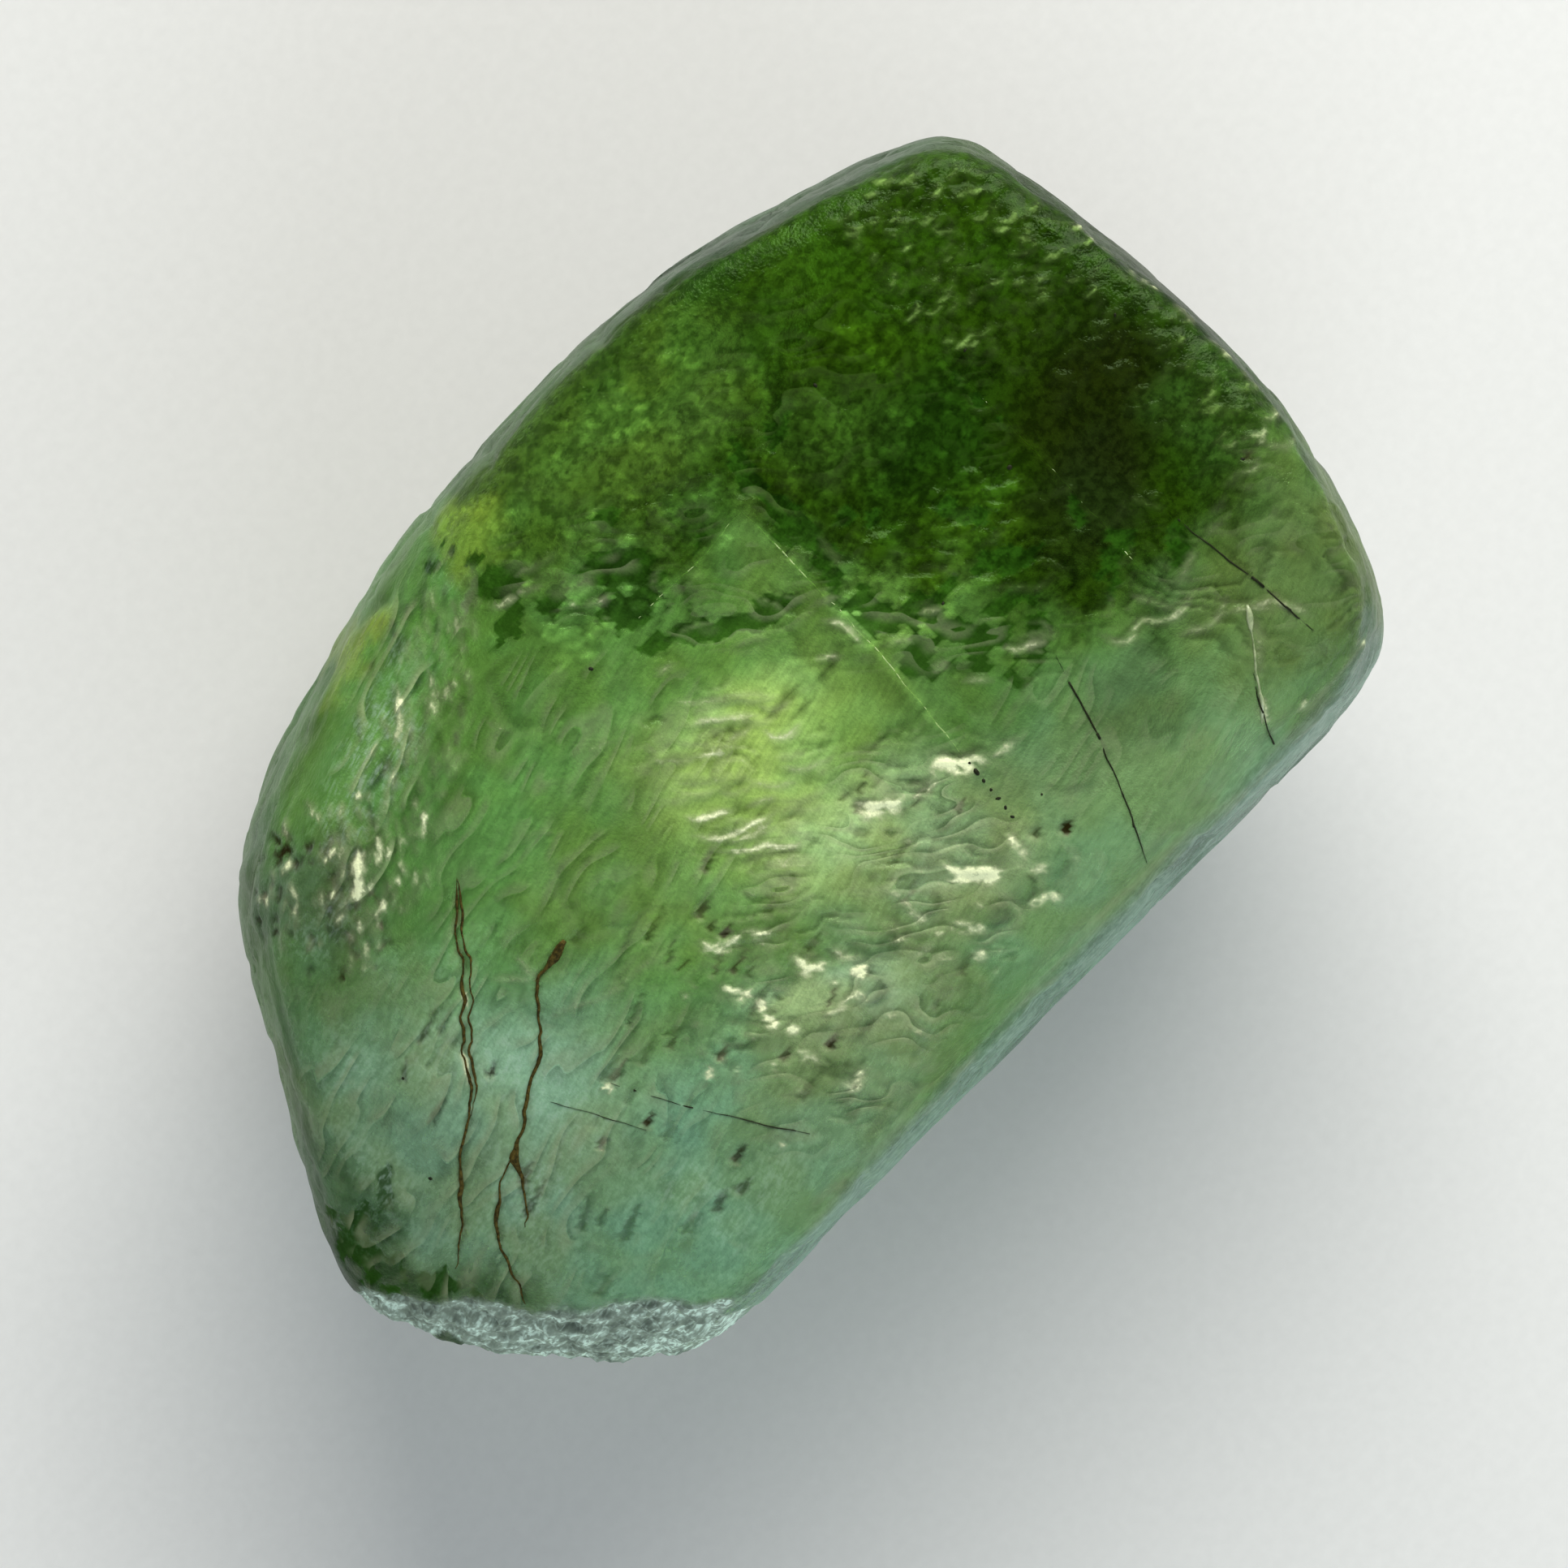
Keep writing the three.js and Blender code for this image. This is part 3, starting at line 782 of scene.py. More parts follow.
        # zone, way, period, grain, warp, draw, bright, dark, lift, seed
        self.scales(border, CLIMB_WAY, 1.35, 1.8, 1.9, 1.5, 0.28, 0.80, 0.07, 40)
        self.scales(dark_end, CLIMB_WAY + 0.2, 0.90, 0.95, 1.5, 1.2, 0.30, 0.60, 0.04, 210)
        self.scales(brushed, streaks, 1.25, 1.9, 0.9, 3.0, 0.10, 0.45, 0.05, 240)
        self.scales(shielded, CLIMB_WAY, 1.15, 1.2, 1.2, 1.3, 0.50, 0.80, 0.08, 250)
        self.scales(glow, CLIMB_WAY + 0.25, 0.85, 1.6, 1.5, 1.6, 0.50, 0.60, 0.07, 290)

        # where the finish paints the highlights and shade of finer scales, and which way they climb
        # there
        patchy = smoothstep(-0.5, 0.5, lattice_noise(self.points, 0.9 * MM, 260))
        hammered = patchy * np.maximum.reduce(
            (0.7 * dark_end, 0.6 * olive, 0.8 * shielded, 0.35 * border))
        drawn = patchy * np.maximum.reduce((0.6 * brushed, 0.7 * broken_end, 0.4 * right, strip))
        self.scaly = np.maximum(hammered, drawn) * smoothstep(0.05, 0.20, np.abs(hammered - drawn))
        self.steps = np.where(
            hammered > drawn,
            self.fine_steps(CLIMB_WAY + 0.15, 0.66, 1.2, 2.0, 270),
            self.fine_steps(streaks, 0.80, 1.0, 3.0, 280),
        )
        part = self.steps - np.floor(self.steps)
        self.rise += 0.035 * MM * self.scaly * np.where(part < 0.8, part / 0.8, (1 - part) / 0.2)

    def fine_steps(self, way, period, warp, draw, seed):
        """How many fine scales up the azimuth each point is. The finish paints highlights on their
        lips and shade at their feet.
        """
        loose = rough_noise(stretched(self.points, way - math.pi / 2, draw), 0.9 * MM, seed, 2)
        return self.plan @ heading(way) / (period * MM) + warp * loose

    def seam(self, stops, seed, pale_part=0.0):
        """A shallow groove with a rust stain along it, and pale broken glass in its first part."""
        line = stained_path(stops, seed)
        spots, gap, part = self.beside(line, 1.0 * MM)
        ends = smoothstep(0.0, 0.06, part) * smoothstep(1.0, 0.94, part)
        patchy = 0.60 + 0.55 * lattice_noise(self.points[spots], 0.5 * MM, seed + 3)
        self.raise_to(self.hollow, spots, 0.08 * MM * bell(gap, 0.13 * MM) * ends)
        stain = (0.55 * bell(gap, 0.12 * MM) + 0.25 * bell(gap, 0.26 * MM)) * ends * patchy
        self.raise_to(self.rust, spots, stain)
        if pale_part:
            early = smoothstep(pale_part + 0.1, pale_part - 0.1, part)
            early = early * smoothstep(0.15, 0.25, part)
            chips = smoothstep(0.0, 0.5, lattice_noise(self.points[spots], 0.30 * MM, seed + 5))
            pale = bell(gap, 0.13 * MM) * early * chips
            self.raise_to(self.glint_and_pale_glass, spots, pale)
            self.rust[spots] *= 1 - 0.9 * pale

    def fracture(self):
        """The rough broken end, more ragged on the sides, with darker chips: white broken glass
        with painted sparkle on it, whiter at both of its corners.
        """
        down = -(self.plan @ heading(CLIMB_WAY))
        ragged = rough_noise(self.points, 1.2 * MM, 80, 3) * (0.22 + 1.1 * (1 - self.front)) * MM
        end = smoothstep(FRACTURE_START, FRACTURE_WHOLE, down + ragged)
        rough = rough_noise(self.points, 0.75 * MM, 50, 3)
        facets = np.abs(lattice_noise(self.points, 0.42 * MM, 55))
        self.rise += (rough * 0.13 - facets * 0.16 - 0.05) * MM * end
        for layer in (self.glint_and_pale_glass, self.shade, self.painted_shade_and_dark_tone, self.leaf, self.light, self.scaly):
            layer *= 1 - end
        chips = lattice_noise(self.points, 0.27 * MM, 56)
        chips += 0.5 * lattice_noise(self.points, 0.9 * MM, 57)
        aside = np.abs((self.plan - at(-39, -90)) @ heading(STEP_WAY))
        bright = 1 + 0.7 * smoothstep(3.0 * MM, 5.6 * MM, aside)
        # the white of the broken glass, with painted sparkle on the chips
        white = end * bright * (0.7 + 1.6 * smoothstep(-0.1, 0.6, chips))
        self.frost_and_sparkle = np.maximum(self.frost_and_sparkle, white)
        self.painted_shade_and_dark_tone = np.maximum(self.painted_shade_and_dark_tone, 0.8 * end * smoothstep(0.0, 0.8, -chips))
        return end

    # ---- colours

    def lay(self, entries, colour, loose):
        """Lays soft oval patches of colour over a ground colour."""
        for _, middle, reach, tilt, tint, strength in entries:
            away = off_oval(loose, place(*middle), reach, tilt)
            cover = (smoothstep(1.12, 0.35, away) * strength)[:, None]
            colour = colour * (1 - cover) + np.array(tint) * cover
        return colour

    def stains(self):
        """Painted light, leaves, painted shade in grooves and under edges, brown noses and rust go
        into the colour, with ragged borders.
        """
        ragged = lattice_noise(self.points, 0.24 * MM, 98)
        leaf = 0.95 * smoothstep(0.40, 0.54, self.leaf + 0.08 * ragged)
        shade, rusty = (
            smoothstep(0.20, 0.42, mask + 0.10 * ragged) * np.clip(mask, 0, 1)
            for mask in (self.shade, self.rust)
        )
        # painted light brightens the colour
        self.colour *= 1 + 1.4 * np.clip(self.light, 0, 1)[:, None]
        self.blend(leaf, LEAF_GREEN)
        # painted shade darkens the colour
        self.colour *= 1 - 0.72 * np.clip(self.painted_shade_and_dark_tone * (1 + 0.3 * ragged), 0, 1)[:, None]
        self.blend(shade, NOSE_BROWN)
        self.blend(rusty, RUST)
        self.cover = np.maximum.reduce((self.cover, leaf, shade, rusty, self.glint_and_pale_glass))

    def blend(self, amount, colour):
        amount = np.clip(amount, 0, 1)[:, None]
        self.colour = self.colour * (1 - amount) + np.array(colour) * amount

    def colours(self):
        """Clear glass towards the broken end, and the dark end beyond a ragged front."""
        warp = [rough_noise(self.points, 2.6 * MM, seed, 4) * 0.9 * MM for seed in (20, 25)]
        loose = self.plan + np.stack(warp, axis=1)
        self.colour = self.lay(CLEAR_PATCHES, self.colour, loose)

        climb, run = loose @ heading(CLIMB_WAY), loose @ heading(STEP_WAY)
        border = (
            4.4 * MM
            + 1.3 * MM * smoothstep(3.0 * MM, -1.0 * MM, run)
            + 4.2 * MM * smoothstep(12.0 * MM, 16.5 * MM, run)
            + 2.0 * MM * smoothstep(-7.0 * MM, -9.5 * MM, run)
        )
        ragged = rough_noise(stretched(self.points, ETCH_WAY, 1.8), 1.3 * MM, 90, 4)
        dark = smoothstep(-1.4 * MM, 2.0 * MM, climb - border + ragged * 1.2 * MM)

        # the clear part reaches up in a tent to the corner of the healed lines
        straight_climb, straight_run = self.plan @ heading(CLIMB_WAY), self.plan @ heading(STEP_WAY)
        tent = (straight_climb + np.abs(straight_run - 0.4 * MM) - 7.2 * MM) / MM
        dark *= 1 - 0.8 * smoothstep(0.30, -0.30, tent)
        ground = np.tile(OLIVE, (len(self.points), 1))
        self.colour += (self.lay(DARK_PATCHES, ground, loose) - self.colour) * dark[:, None]

        # broad patches of a warmer and a cooler green
        broad = smoothstep(-0.6, 0.6, rough_noise(self.points, 1.6 * MM, 23, 2))
        warm, cool = np.array((0.98, 0.93, 0.84)), np.array((1.02, 1.07, 1.18))
        self.colour *= warm + broad[:, None] * (cool - warm)

        # small leaf-like patches hang over the border into the clear part
        hanging = smoothstep(2.6, 0.8, np.abs(climb - border + 0.7 * MM) / MM) * self.front
        hanging *= smoothstep(11.0 * MM, 8.0 * MM, run) * (1 - 0.9 * smoothstep(0.30, -0.30, tent))
        leaves = rough_noise(stretched(self.points, ETCH_WAY, 1.5), 0.75 * MM, 95, 3)
        self.leaf = np.maximum(self.leaf, np.clip(0.5 + leaves * 1.3 - 0.26, 0, 1) * hanging)
        return dark

    def edges(self):
        """Painted cool sheen on the rims, a wide one along the straight side and a thin one along
        the upper side.

        The sides have growth layers and painted shade that darkens them, and are less clear, most
        of all where they face down.
        """
        lean = self.normals[:, 2]
        straight = smoothstep(0.60, 0.95, -self.normals[:, 1]) * smoothstep(0.60, 0.25, lean)
        upper = smoothstep(0.5, 0.9, self.normals[:, 1]) * smoothstep(0.40, 0.10, lean)
        side = smoothstep(0.75, 0.30, lean)
        broad = rough_noise(self.points, 4.0 * MM, 141, 3)
        layers = rough_noise(self.points * (1, 1, 4), 1.9 * MM, 142, 3)
        self.rise += 0.05 * MM * layers * side
        # painted shade: the sides are darkened
        self.colour *= 1 - 0.55 * side[:, None]
        self.blend(0.70 * straight + 0.12 * upper, RIM_SHEEN_BLUE)
        self.colour *= 1 + np.clip(0.40 * broad + 0.16 * layers, -0.4, 0.5)[:, None] * side[:, None]
        below = smoothstep(-0.1, -0.5, lean)
        cover = (SIDE_COVER + BACK_COVER * below) * smoothstep(0.86, 0.55, lean)
        self.cover = np.maximum(self.cover, cover)
        # painted sparkle streaks in the straight side's sheen
        self.frost_and_sparkle = np.maximum(self.frost_and_sparkle, 0.45 * straight * smoothstep(0.0, 0.3, lean))

    def frosting(self):
        """White etch frost in its patches, and a milky skin there and over the glow."""
        for middle, reach, tilt, strength in FROST_PATCHES:
            away = off_oval(self.plan, place(*middle), reach, tilt)
            seed = 100 + int(reach[0] * 10)
            patchy = smoothstep(-1.0, 0.8, lattice_noise(self.points, 1.6 * MM, seed))
            self.frost_and_sparkle = np.maximum(self.frost_and_sparkle, strength * smoothstep(1.1, 0.3, away) * patchy)
        self.cover = np.maximum(self.cover, FRONT_COVER + FROST_COVER * self.frost_and_sparkle)
        glow = np.linalg.norm((self.plan - place(0.03, -0.12)) / (6.0 * MM, 5.0 * MM), axis=1)
        self.cover = np.maximum(self.cover, GLOW_COVER * smoothstep(1.2, 0.4, glow))


def draw_marks(surface):
    """The marks with a place of their own. Pale strokes are painted highlights that stand up, with
    a stroke of painted shade beside each.
    """
    glint_and_pale_glass, painted_shade_and_dark_tone = surface.glint_and_pale_glass, surface.painted_shade_and_dark_tone
    for number, (width, bright, stops) in enumerate(GLOW_RIPPLE_GLINTS):
        stops = [at(*stop) for stop in stops]
        below = moved(stops, CLIMB_WAY, -(width + 0.10))
        surface.stroke(glint_and_pale_glass, stops, 0.8 * width * MM, bright, 300 + number, 0.04 * MM)
        surface.stroke(painted_shade_and_dark_tone, below, 0.8 * width * MM, 0.6 * bright, 330 + number)
    for number, (width, bright, stops) in enumerate(CREAM_GLINTS):
        stops = [at(*stop) for stop in stops]
        above = moved(stops, CLIMB_WAY, width + 0.10)
        shell = [stop - heading(CLIMB_WAY) * 0.9 * width * MM for stop in stops]
        surface.stroke(glint_and_pale_glass, stops, 0.9 * width * MM, 1.35 * bright, 360 + number, 0.05 * MM, 0.3)
        surface.stroke(glint_and_pale_glass, shell, 2.2 * width * MM, bright, 700 + number, grainy=0.55)
        surface.stroke(painted_shade_and_dark_tone, above, 0.8 * width * MM, 0.8 * bright, 400 + number)
    for number, (width, bright, stops) in enumerate(STEP_EDGE_GLINTS):
        stops = [at(*stop) for stop in stops]
        above = moved(stops, CLIMB_WAY + 0.6, width + 0.10)
        surface.stroke(glint_and_pale_glass, stops, 0.8 * width * MM, 0.4 + 0.6 * bright, 440 + number, 0.04 * MM)
        surface.stroke(painted_shade_and_dark_tone, above, 1.2 * width * MM, 0.9 * bright, 490 + number)

    # each healed line shows as a streak of painted light, with a band of painted shade under its
    # lower side
    for number, (stops, _) in enumerate(HEALED_LINES):
        stops = [place(*stop) for stop in stops]
        surface.stroke(surface.light, stops, 0.10 * MM, 0.45, 750 + number, 0.02 * MM)
        surface.stroke(painted_shade_and_dark_tone, moved(stops, STEP_WAY, -0.45), 0.30 * MM, 0.3, 760 + number)

    for number, (width, dark, stops) in enumerate(CAVE_SHADE):
        stops = [at(*stop) for stop in stops]
        surface.stroke(painted_shade_and_dark_tone, stops, width * MM, dark, 650 + number, -0.06 * MM)
    for number, (run, climb, length, width, turn) in enumerate(LEAVES):
        way = STEP_WAY + math.radians(turn)
        surface.leafy(at(run, climb), way, length * MM, width * MM, 540 + number)
    for number, (run, climb, length, width, turn, strength) in enumerate(SHIELDS):
        way = STEP_WAY + math.radians(turn)
        surface.shield(at(run, climb), way, length * MM, width * MM, strength, 600 + number)
    for along, across, length, width, dark in DEEP_PITS:
        surface.pit(place(along, across), ETCH_WAY, length * MM, width * MM, 0.14 * MM, 0.5, dark)


def strew_marks(surface):
    """The marks that only have a patch and a habit in common.

    A field of strokes is: layer, count, middle, reach, azimuth, ranges of length, half width and
    strength, and how far the strokes turn off the azimuth, in radians.
    """
    rng = np.random.default_rng(SEED)
    strokes, pits = partial(surface.stroke_field, rng), partial(surface.pit_field, rng)
    glint_and_pale_glass, painted_shade_and_dark_tone, light, shade = surface.glint_and_pale_glass, surface.painted_shade_and_dark_tone, surface.light, surface.shade
    smile = STEP_WAY + math.radians(38)
    strip = CLIMB_WAY - math.radians(14)

    # small smiles of painted highlight on the dark end, each with its painted shadow, and rounder
    # ones towards the apex
    strokes(glint_and_pale_glass, 170, at(50, 70), (2.6, 7.6), smile, (0.40, 0.80), (0.05, 0.08), (0.6, 1.2), 0.30,
            tilt=16, bow=0.30, lift=0.04)
    strokes(painted_shade_and_dark_tone, 150, at(50, 69), (2.8, 7.6), smile, (0.4, 0.9), (0.08, 0.15), (0.4, 1.0), 0.4,
            tilt=16)
    strokes(glint_and_pale_glass, 110, at(36, 76), (2.4, 3.4), smile, (0.18, 0.45), (0.05, 0.09), (0.3, 0.8), 0.5,
            bow=0.20, lift=0.03)

    # the brown heart stays smooth
    smooth_heart = 1 - 0.8 * surface.oval(place(0.79, -0.03), (2.9, 3.4))
    glint_and_pale_glass *= smooth_heart
    painted_shade_and_dark_tone *= smooth_heart

    # hanging drops and flames in the olive upper part: painted light, with painted shade beside
    # them
    strokes(light, 40, at(7, 50), (2.4, 2.6), CLIMB_WAY + 0.12, (0.6, 1.6), (0.06, 0.11),
            (0.5, 1.0), 0.14, lift=0.03)
    strokes(painted_shade_and_dark_tone, 60, at(7, 50), (3.0, 2.8), CLIMB_WAY + 0.12, (0.7, 2.0), (0.07, 0.14), (0.3, 0.8),
            0.16)
    strokes(light, 120, at(22, 50), (3.0, 3.4), STEP_WAY + 0.8, (0.12, 0.34), (0.06, 0.10),
            (0.5, 1.2), 0.9, lift=0.02)
    strokes(painted_shade_and_dark_tone, 90, at(20, 48), (4.0, 3.6), STEP_WAY + 0.8, (0.2, 0.6), (0.08, 0.15), (0.3, 0.8),
            0.8)
    strokes(light, 70, at(-14, 42), (4.6, 3.0), STEP_WAY + 0.7, (0.12, 0.40), (0.06, 0.11),
            (0.4, 1.2), 0.5, lift=0.02)
    strokes(painted_shade_and_dark_tone, 90, at(-16, 40), (5.2, 3.4), STEP_WAY + 0.9, (0.3, 0.8), (0.09, 0.18), (0.2, 0.6),
            0.5)

    # fine conchoidal ripples over the glow: painted highlights with painted shade
    strokes(glint_and_pale_glass, 34, at(2, -2), (2.2, 2.4), STEP_WAY + 0.05, (0.7, 2.0), (0.05, 0.08),
            (0.25, 0.75), 0.12, bow=0.12, lift=0.03)
    strokes(painted_shade_and_dark_tone, 34, at(2, -2), (2.2, 2.4), STEP_WAY + 0.05, (0.6, 1.8), (0.06, 0.10), (0.2, 0.6),
            0.12, bow=0.12)

    # brushed strokes down the clear part: darker streaks, with faint painted glints
    strokes(painted_shade_and_dark_tone, 90, at(-24, -12), (5.2, 5.0), ETCH_WAY, (0.9, 2.8), (0.05, 0.10), (0.15, 0.50),
            0.08)
    strokes(glint_and_pale_glass, 70, at(-24, -12), (5.2, 5.0), ETCH_WAY, (0.8, 2.2), (0.04, 0.07), (0.06, 0.20),
            0.08)
    strokes(painted_shade_and_dark_tone, 70, at(12, -50), (7.0, 4.6), ETCH_WAY, (0.5, 1.6), (0.05, 0.10), (0.2, 0.6), 0.15)

    # cream crumbs of painted highlight among the shields, and small dark pits
    strokes(glint_and_pale_glass, 90, at(20, -27), (6.4, 4.0), STEP_WAY, (0.10, 0.40), (0.05, 0.10), (0.2, 0.8),
            0.35, lift=0.03)
    pits(26, at(12, -32), (6.4, 4.4), ETCH_WAY, (0.5, 1.2), (0.10, 0.18), (0.06, 0.12), (0.1, 0.5),
         (0.2, 0.9))
    pits(34, place(-0.58, -0.40), (6.5, 5.5), ETCH_WAY, (0.8, 2.0), (0.10, 0.18), (0.06, 0.12),
         (0.0, 0.35), (0.1, 0.7))

    # the frosted strip and the stained cluster by the shoulder, with painted glints and darker
    # strokes
    strokes(glint_and_pale_glass, 140, at(-49, -2), (6.0, 1.5), strip + 0.2, (0.25, 0.8), (0.04, 0.07),
            (0.35, 0.85), 0.25, tilt=31, lift=0.03)
    strokes(painted_shade_and_dark_tone, 80, at(-50, 3), (6.6, 1.6), strip + 0.2, (0.3, 1.1), (0.06, 0.12), (0.3, 0.9),
            0.25, tilt=31)
    strokes(glint_and_pale_glass, 60, at(-60, -18), (2.6, 2.4), CLIMB_WAY, (0.2, 0.6), (0.05, 0.10), (0.4, 1.1),
            0.3, lift=0.03)
    strokes(shade, 70, at(-64, -22), (2.0, 2.6), CLIMB_WAY, (0.2, 0.6), (0.06, 0.12), (0.5, 1.3),
            0.5, lift=-0.05)

    # frosted flecks on the teal broken end: faint painted glints, with darker streaks among them
    strokes(glint_and_pale_glass, 230, at(-38, -55), (7.5, 6.5), ETCH_WAY + 0.25, (0.15, 0.6), (0.04, 0.08),
            (0.05, 0.36), 0.3)
    strokes(painted_shade_and_dark_tone, 150, at(-38, -55), (8.0, 7.0), ETCH_WAY + 0.2, (0.2, 0.9), (0.05, 0.10),
            (0.1, 0.5), 0.3)

    # pale flames of painted light along the dark end's border, right and left of the tent
    strokes(light, 110, at(31, 31), (3.4, 1.7), STEP_WAY + 0.1, (0.4, 1.2), (0.08, 0.15),
            (0.5, 1.2), 0.22, bow=0.15, lift=0.04)
    strokes(light, 70, at(-12, 31), (4.6, 1.4), STEP_WAY + 0.5, (0.2, 0.8), (0.07, 0.12),
            (0.4, 1.0), 0.40, bow=0.15, lift=0.03)

    # painted glint streaks along the straight edge's painted sheen
    strokes(glint_and_pale_glass, 60, place(0.25, -0.93), (13.0, 0.7), 0.0, (0.6, 3.0), (0.05, 0.10), (0.10, 0.50),
            0.05)


def etch(mesh):
    """Moves the relief into the mesh, keeping the rest face flat, and stores the masks."""
    surface = Surface(mesh)
    surface.waves()
    surface.growth_scales()
    strew_marks(surface)
    draw_marks(surface)
    surface.seam(UPPER_SEAM, 110, PALE_PART)
    surface.seam(LOWER_SEAM, 120)
    surface.seam(SPLIT_SEAM, 130)
    surface.frosting()
    dark = surface.colours()
    surface.edges()
    end = surface.fracture()
    surface.blend(end, FRACTURE_GREY)
    surface.cover = np.maximum(surface.cover, FRACTURE_COVER * end)
    surface.stains()

    height = surface.rise - surface.hollow * surface.front
    height *= smoothstep(0.02 * MM, 0.8 * MM, surface.points[:, 2])
    write_points(mesh, surface.points + surface.normals * height[:, None])

    # over the rest face, light crosses the glass twice on its way down to the floor and back
    over_rest = smoothstep(1.3, 0.7, np.linalg.norm(
        (surface.plan - place(*REST_MIDDLE)) / (np.array(REST_REACH) * MM), axis=1))
    crossings = (1 - REST_THINNING * over_rest)[:, None]
    colour = surface.colour * (1 + REST_GAIN * over_rest)[:, None]
    write_colour(mesh, "glass_tint", np.clip(colour / FLOOR_LIGHT, 0, 1) ** crossings)
    write_colour(mesh, "skin_tint", np.clip(colour, 0, 1))
    sides = smoothstep(0.75, 0.30, surface.normals[:, 2])
    write_number(mesh, "dark", dark * (1 - 0.75 * sides))
    for name in ("glint_and_pale_glass", "cover", "scaly"):
        write_number(mesh, name, np.clip(getattr(surface, name), 0, 1))
    for name in ("frost_and_sparkle", "steps"):
        write_number(mesh, name, getattr(surface, name))


def split_squares(mesh):
    """Splits the front's small squares the way its marks run, which keeps their edges smooth."""
    shell = bmesh.new()
    shell.from_mesh(mesh)
    steps, climb = (Vector((*heading(way), 0)) for way in (STEP_WAY, CLIMB_WAY))
    for face in list(shell.faces):
        if len(face.verts) == 4 and face.normal.z > FRONT_LEAN:
            corners = list(face.verts)
            first, second = corners[2].co - corners[0].co, corners[3].co - corners[1].co
            on_strip = (corners[0].co - MIDDLE).dot(steps) < STRIP_END * HALF.x
            ahead = climb if on_strip else steps
            start = 0 if abs(first.dot(ahead)) > abs(second.dot(ahead)) else 1
            bmesh.utils.face_split(face, corners[start], corners[start + 2])
    shell.to_mesh(mesh)
    shell.free()


def crystal_body():
    """The crystal: the CAD solid remeshed finely, with its etched relief moved into the mesh."""
    body = bpy.data.objects.new("crystal_body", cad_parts["peridot_crystal"].data.copy())
    body.data.name = "crystal_body"
    bpy.context.collection.objects.link(body)
    only(body)
    bpy.ops.object.mode_set(mode="EDIT")
    bpy.ops.mesh.select_all(action="SELECT")
    bpy.ops.mesh.remove_doubles(threshold=0.001 * MM)
    bpy.ops.object.mode_set(mode="OBJECT")
    apply_modifier(body, "REMESH", mode="VOXEL", voxel_size=BODY_VOXEL, use_smooth_shade=True)
    apply_modifier(body, "SMOOTH", factor=0.5, iterations=10)
    only(body)
    bpy.ops.object.mode_set(mode="EDIT")
    bpy.ops.mesh.select_all(action="DESELECT")
    shell = bmesh.from_edit_mesh(body.data)
    for face in shell.faces:
        face.select_set(face.normal.z > FRONT_LEAN)
    bmesh.update_edit_mesh(body.data)
    bpy.ops.mesh.subdivide(number_cuts=1)
    bpy.ops.object.mode_set(mode="OBJECT")
    apply_modifier(body, "SMOOTH", factor=0.5, iterations=3)
    split_squares(body.data)
    only(body)
    bpy.ops.object.shade_smooth()
    etch(body.data)
    return body


# ------------------------------------------------------------------ what lies on and in the glass

class Front:
    """Finds the height of the finished front, for pieces that lie on it or just under it."""

    def __init__(self, body):
        self.tree = BVHTree.FromObject(body, bpy.context.evaluated_depsgraph_get())

    def height(self, plan):
        hit, _, _, _ = self.tree.ray_cast(Vector((*plan, HIGH.z + 10 * MM)), Vector((0, 0, -1)))
        return hit.z if hit else LOW.z


def threads(name, front, lines, lift, hang=0.0):
    """Fine threads laid along the front. With hang, they are blades that go down into the glass.

    Each line is its plan points and the thread's half thickness at each of them. The blades reach
    down by hang times the half thickness, to both sides of a middle that is sunk by as much.
    """
    shape = bpy.data.curves.new(name, "CURVE")
    shape.dimensions = "3D"
    shape.twist_mode = "Z_UP"
    shape.bevel_depth = 1.0 * MM
    shape.bevel_resolution = 1
    shape.extrude = hang * MM
    shape.use_fill_caps = True
    for plan, thickness in lines:
        spline = shape.splines.new("POLY")
        spline.points.add(len(plan) - 1)
        for point, spot, thick in zip(spline.points, plan, thickness):
            sink = hang * thick
            point.co = (*spot, front.height(spot) + lift - sink, 1)
            point.radius = thick / MM
    piece = bpy.data.objects.new(name, shape)
    bpy.context.collection.objects.link(piece)
    only(piece)
    bpy.ops.object.convert(target="MESH")
    piece = bpy.context.active_object
    bpy.ops.object.mode_set(mode="EDIT")
    bpy.ops.mesh.select_all(action="SELECT")
    bpy.ops.mesh.remove_doubles(threshold=0.0005 * MM)
    bpy.ops.mesh.normals_make_consistent(inside=False)
    bpy.ops.object.mode_set(mode="OBJECT")
    bpy.ops.object.shade_smooth()
    return piece


def swelling(line, thickness, seed, blobs=()):
    """A thread's half thickness along its line: uneven, thin at both ends, with blobs."""
    part = np.linspace(0, 1, len(line))
    flat = np.concatenate((line, np.zeros((len(line), 1))), axis=1)
    uneven = 0.8 + 0.5 * rough_noise(flat, 0.8 * MM, seed, 3)
    ends = smoothstep(-0.02, 0.08, part) * smoothstep(1.02, 0.9, part)
    thick = thickness * np.clip(uneven, 0.3, 1.6) * (0.25 + 0.75 * ends)
    for where, size, reach in blobs:
        thick = thick + size * bell(part - where, reach)
    return thick * MM


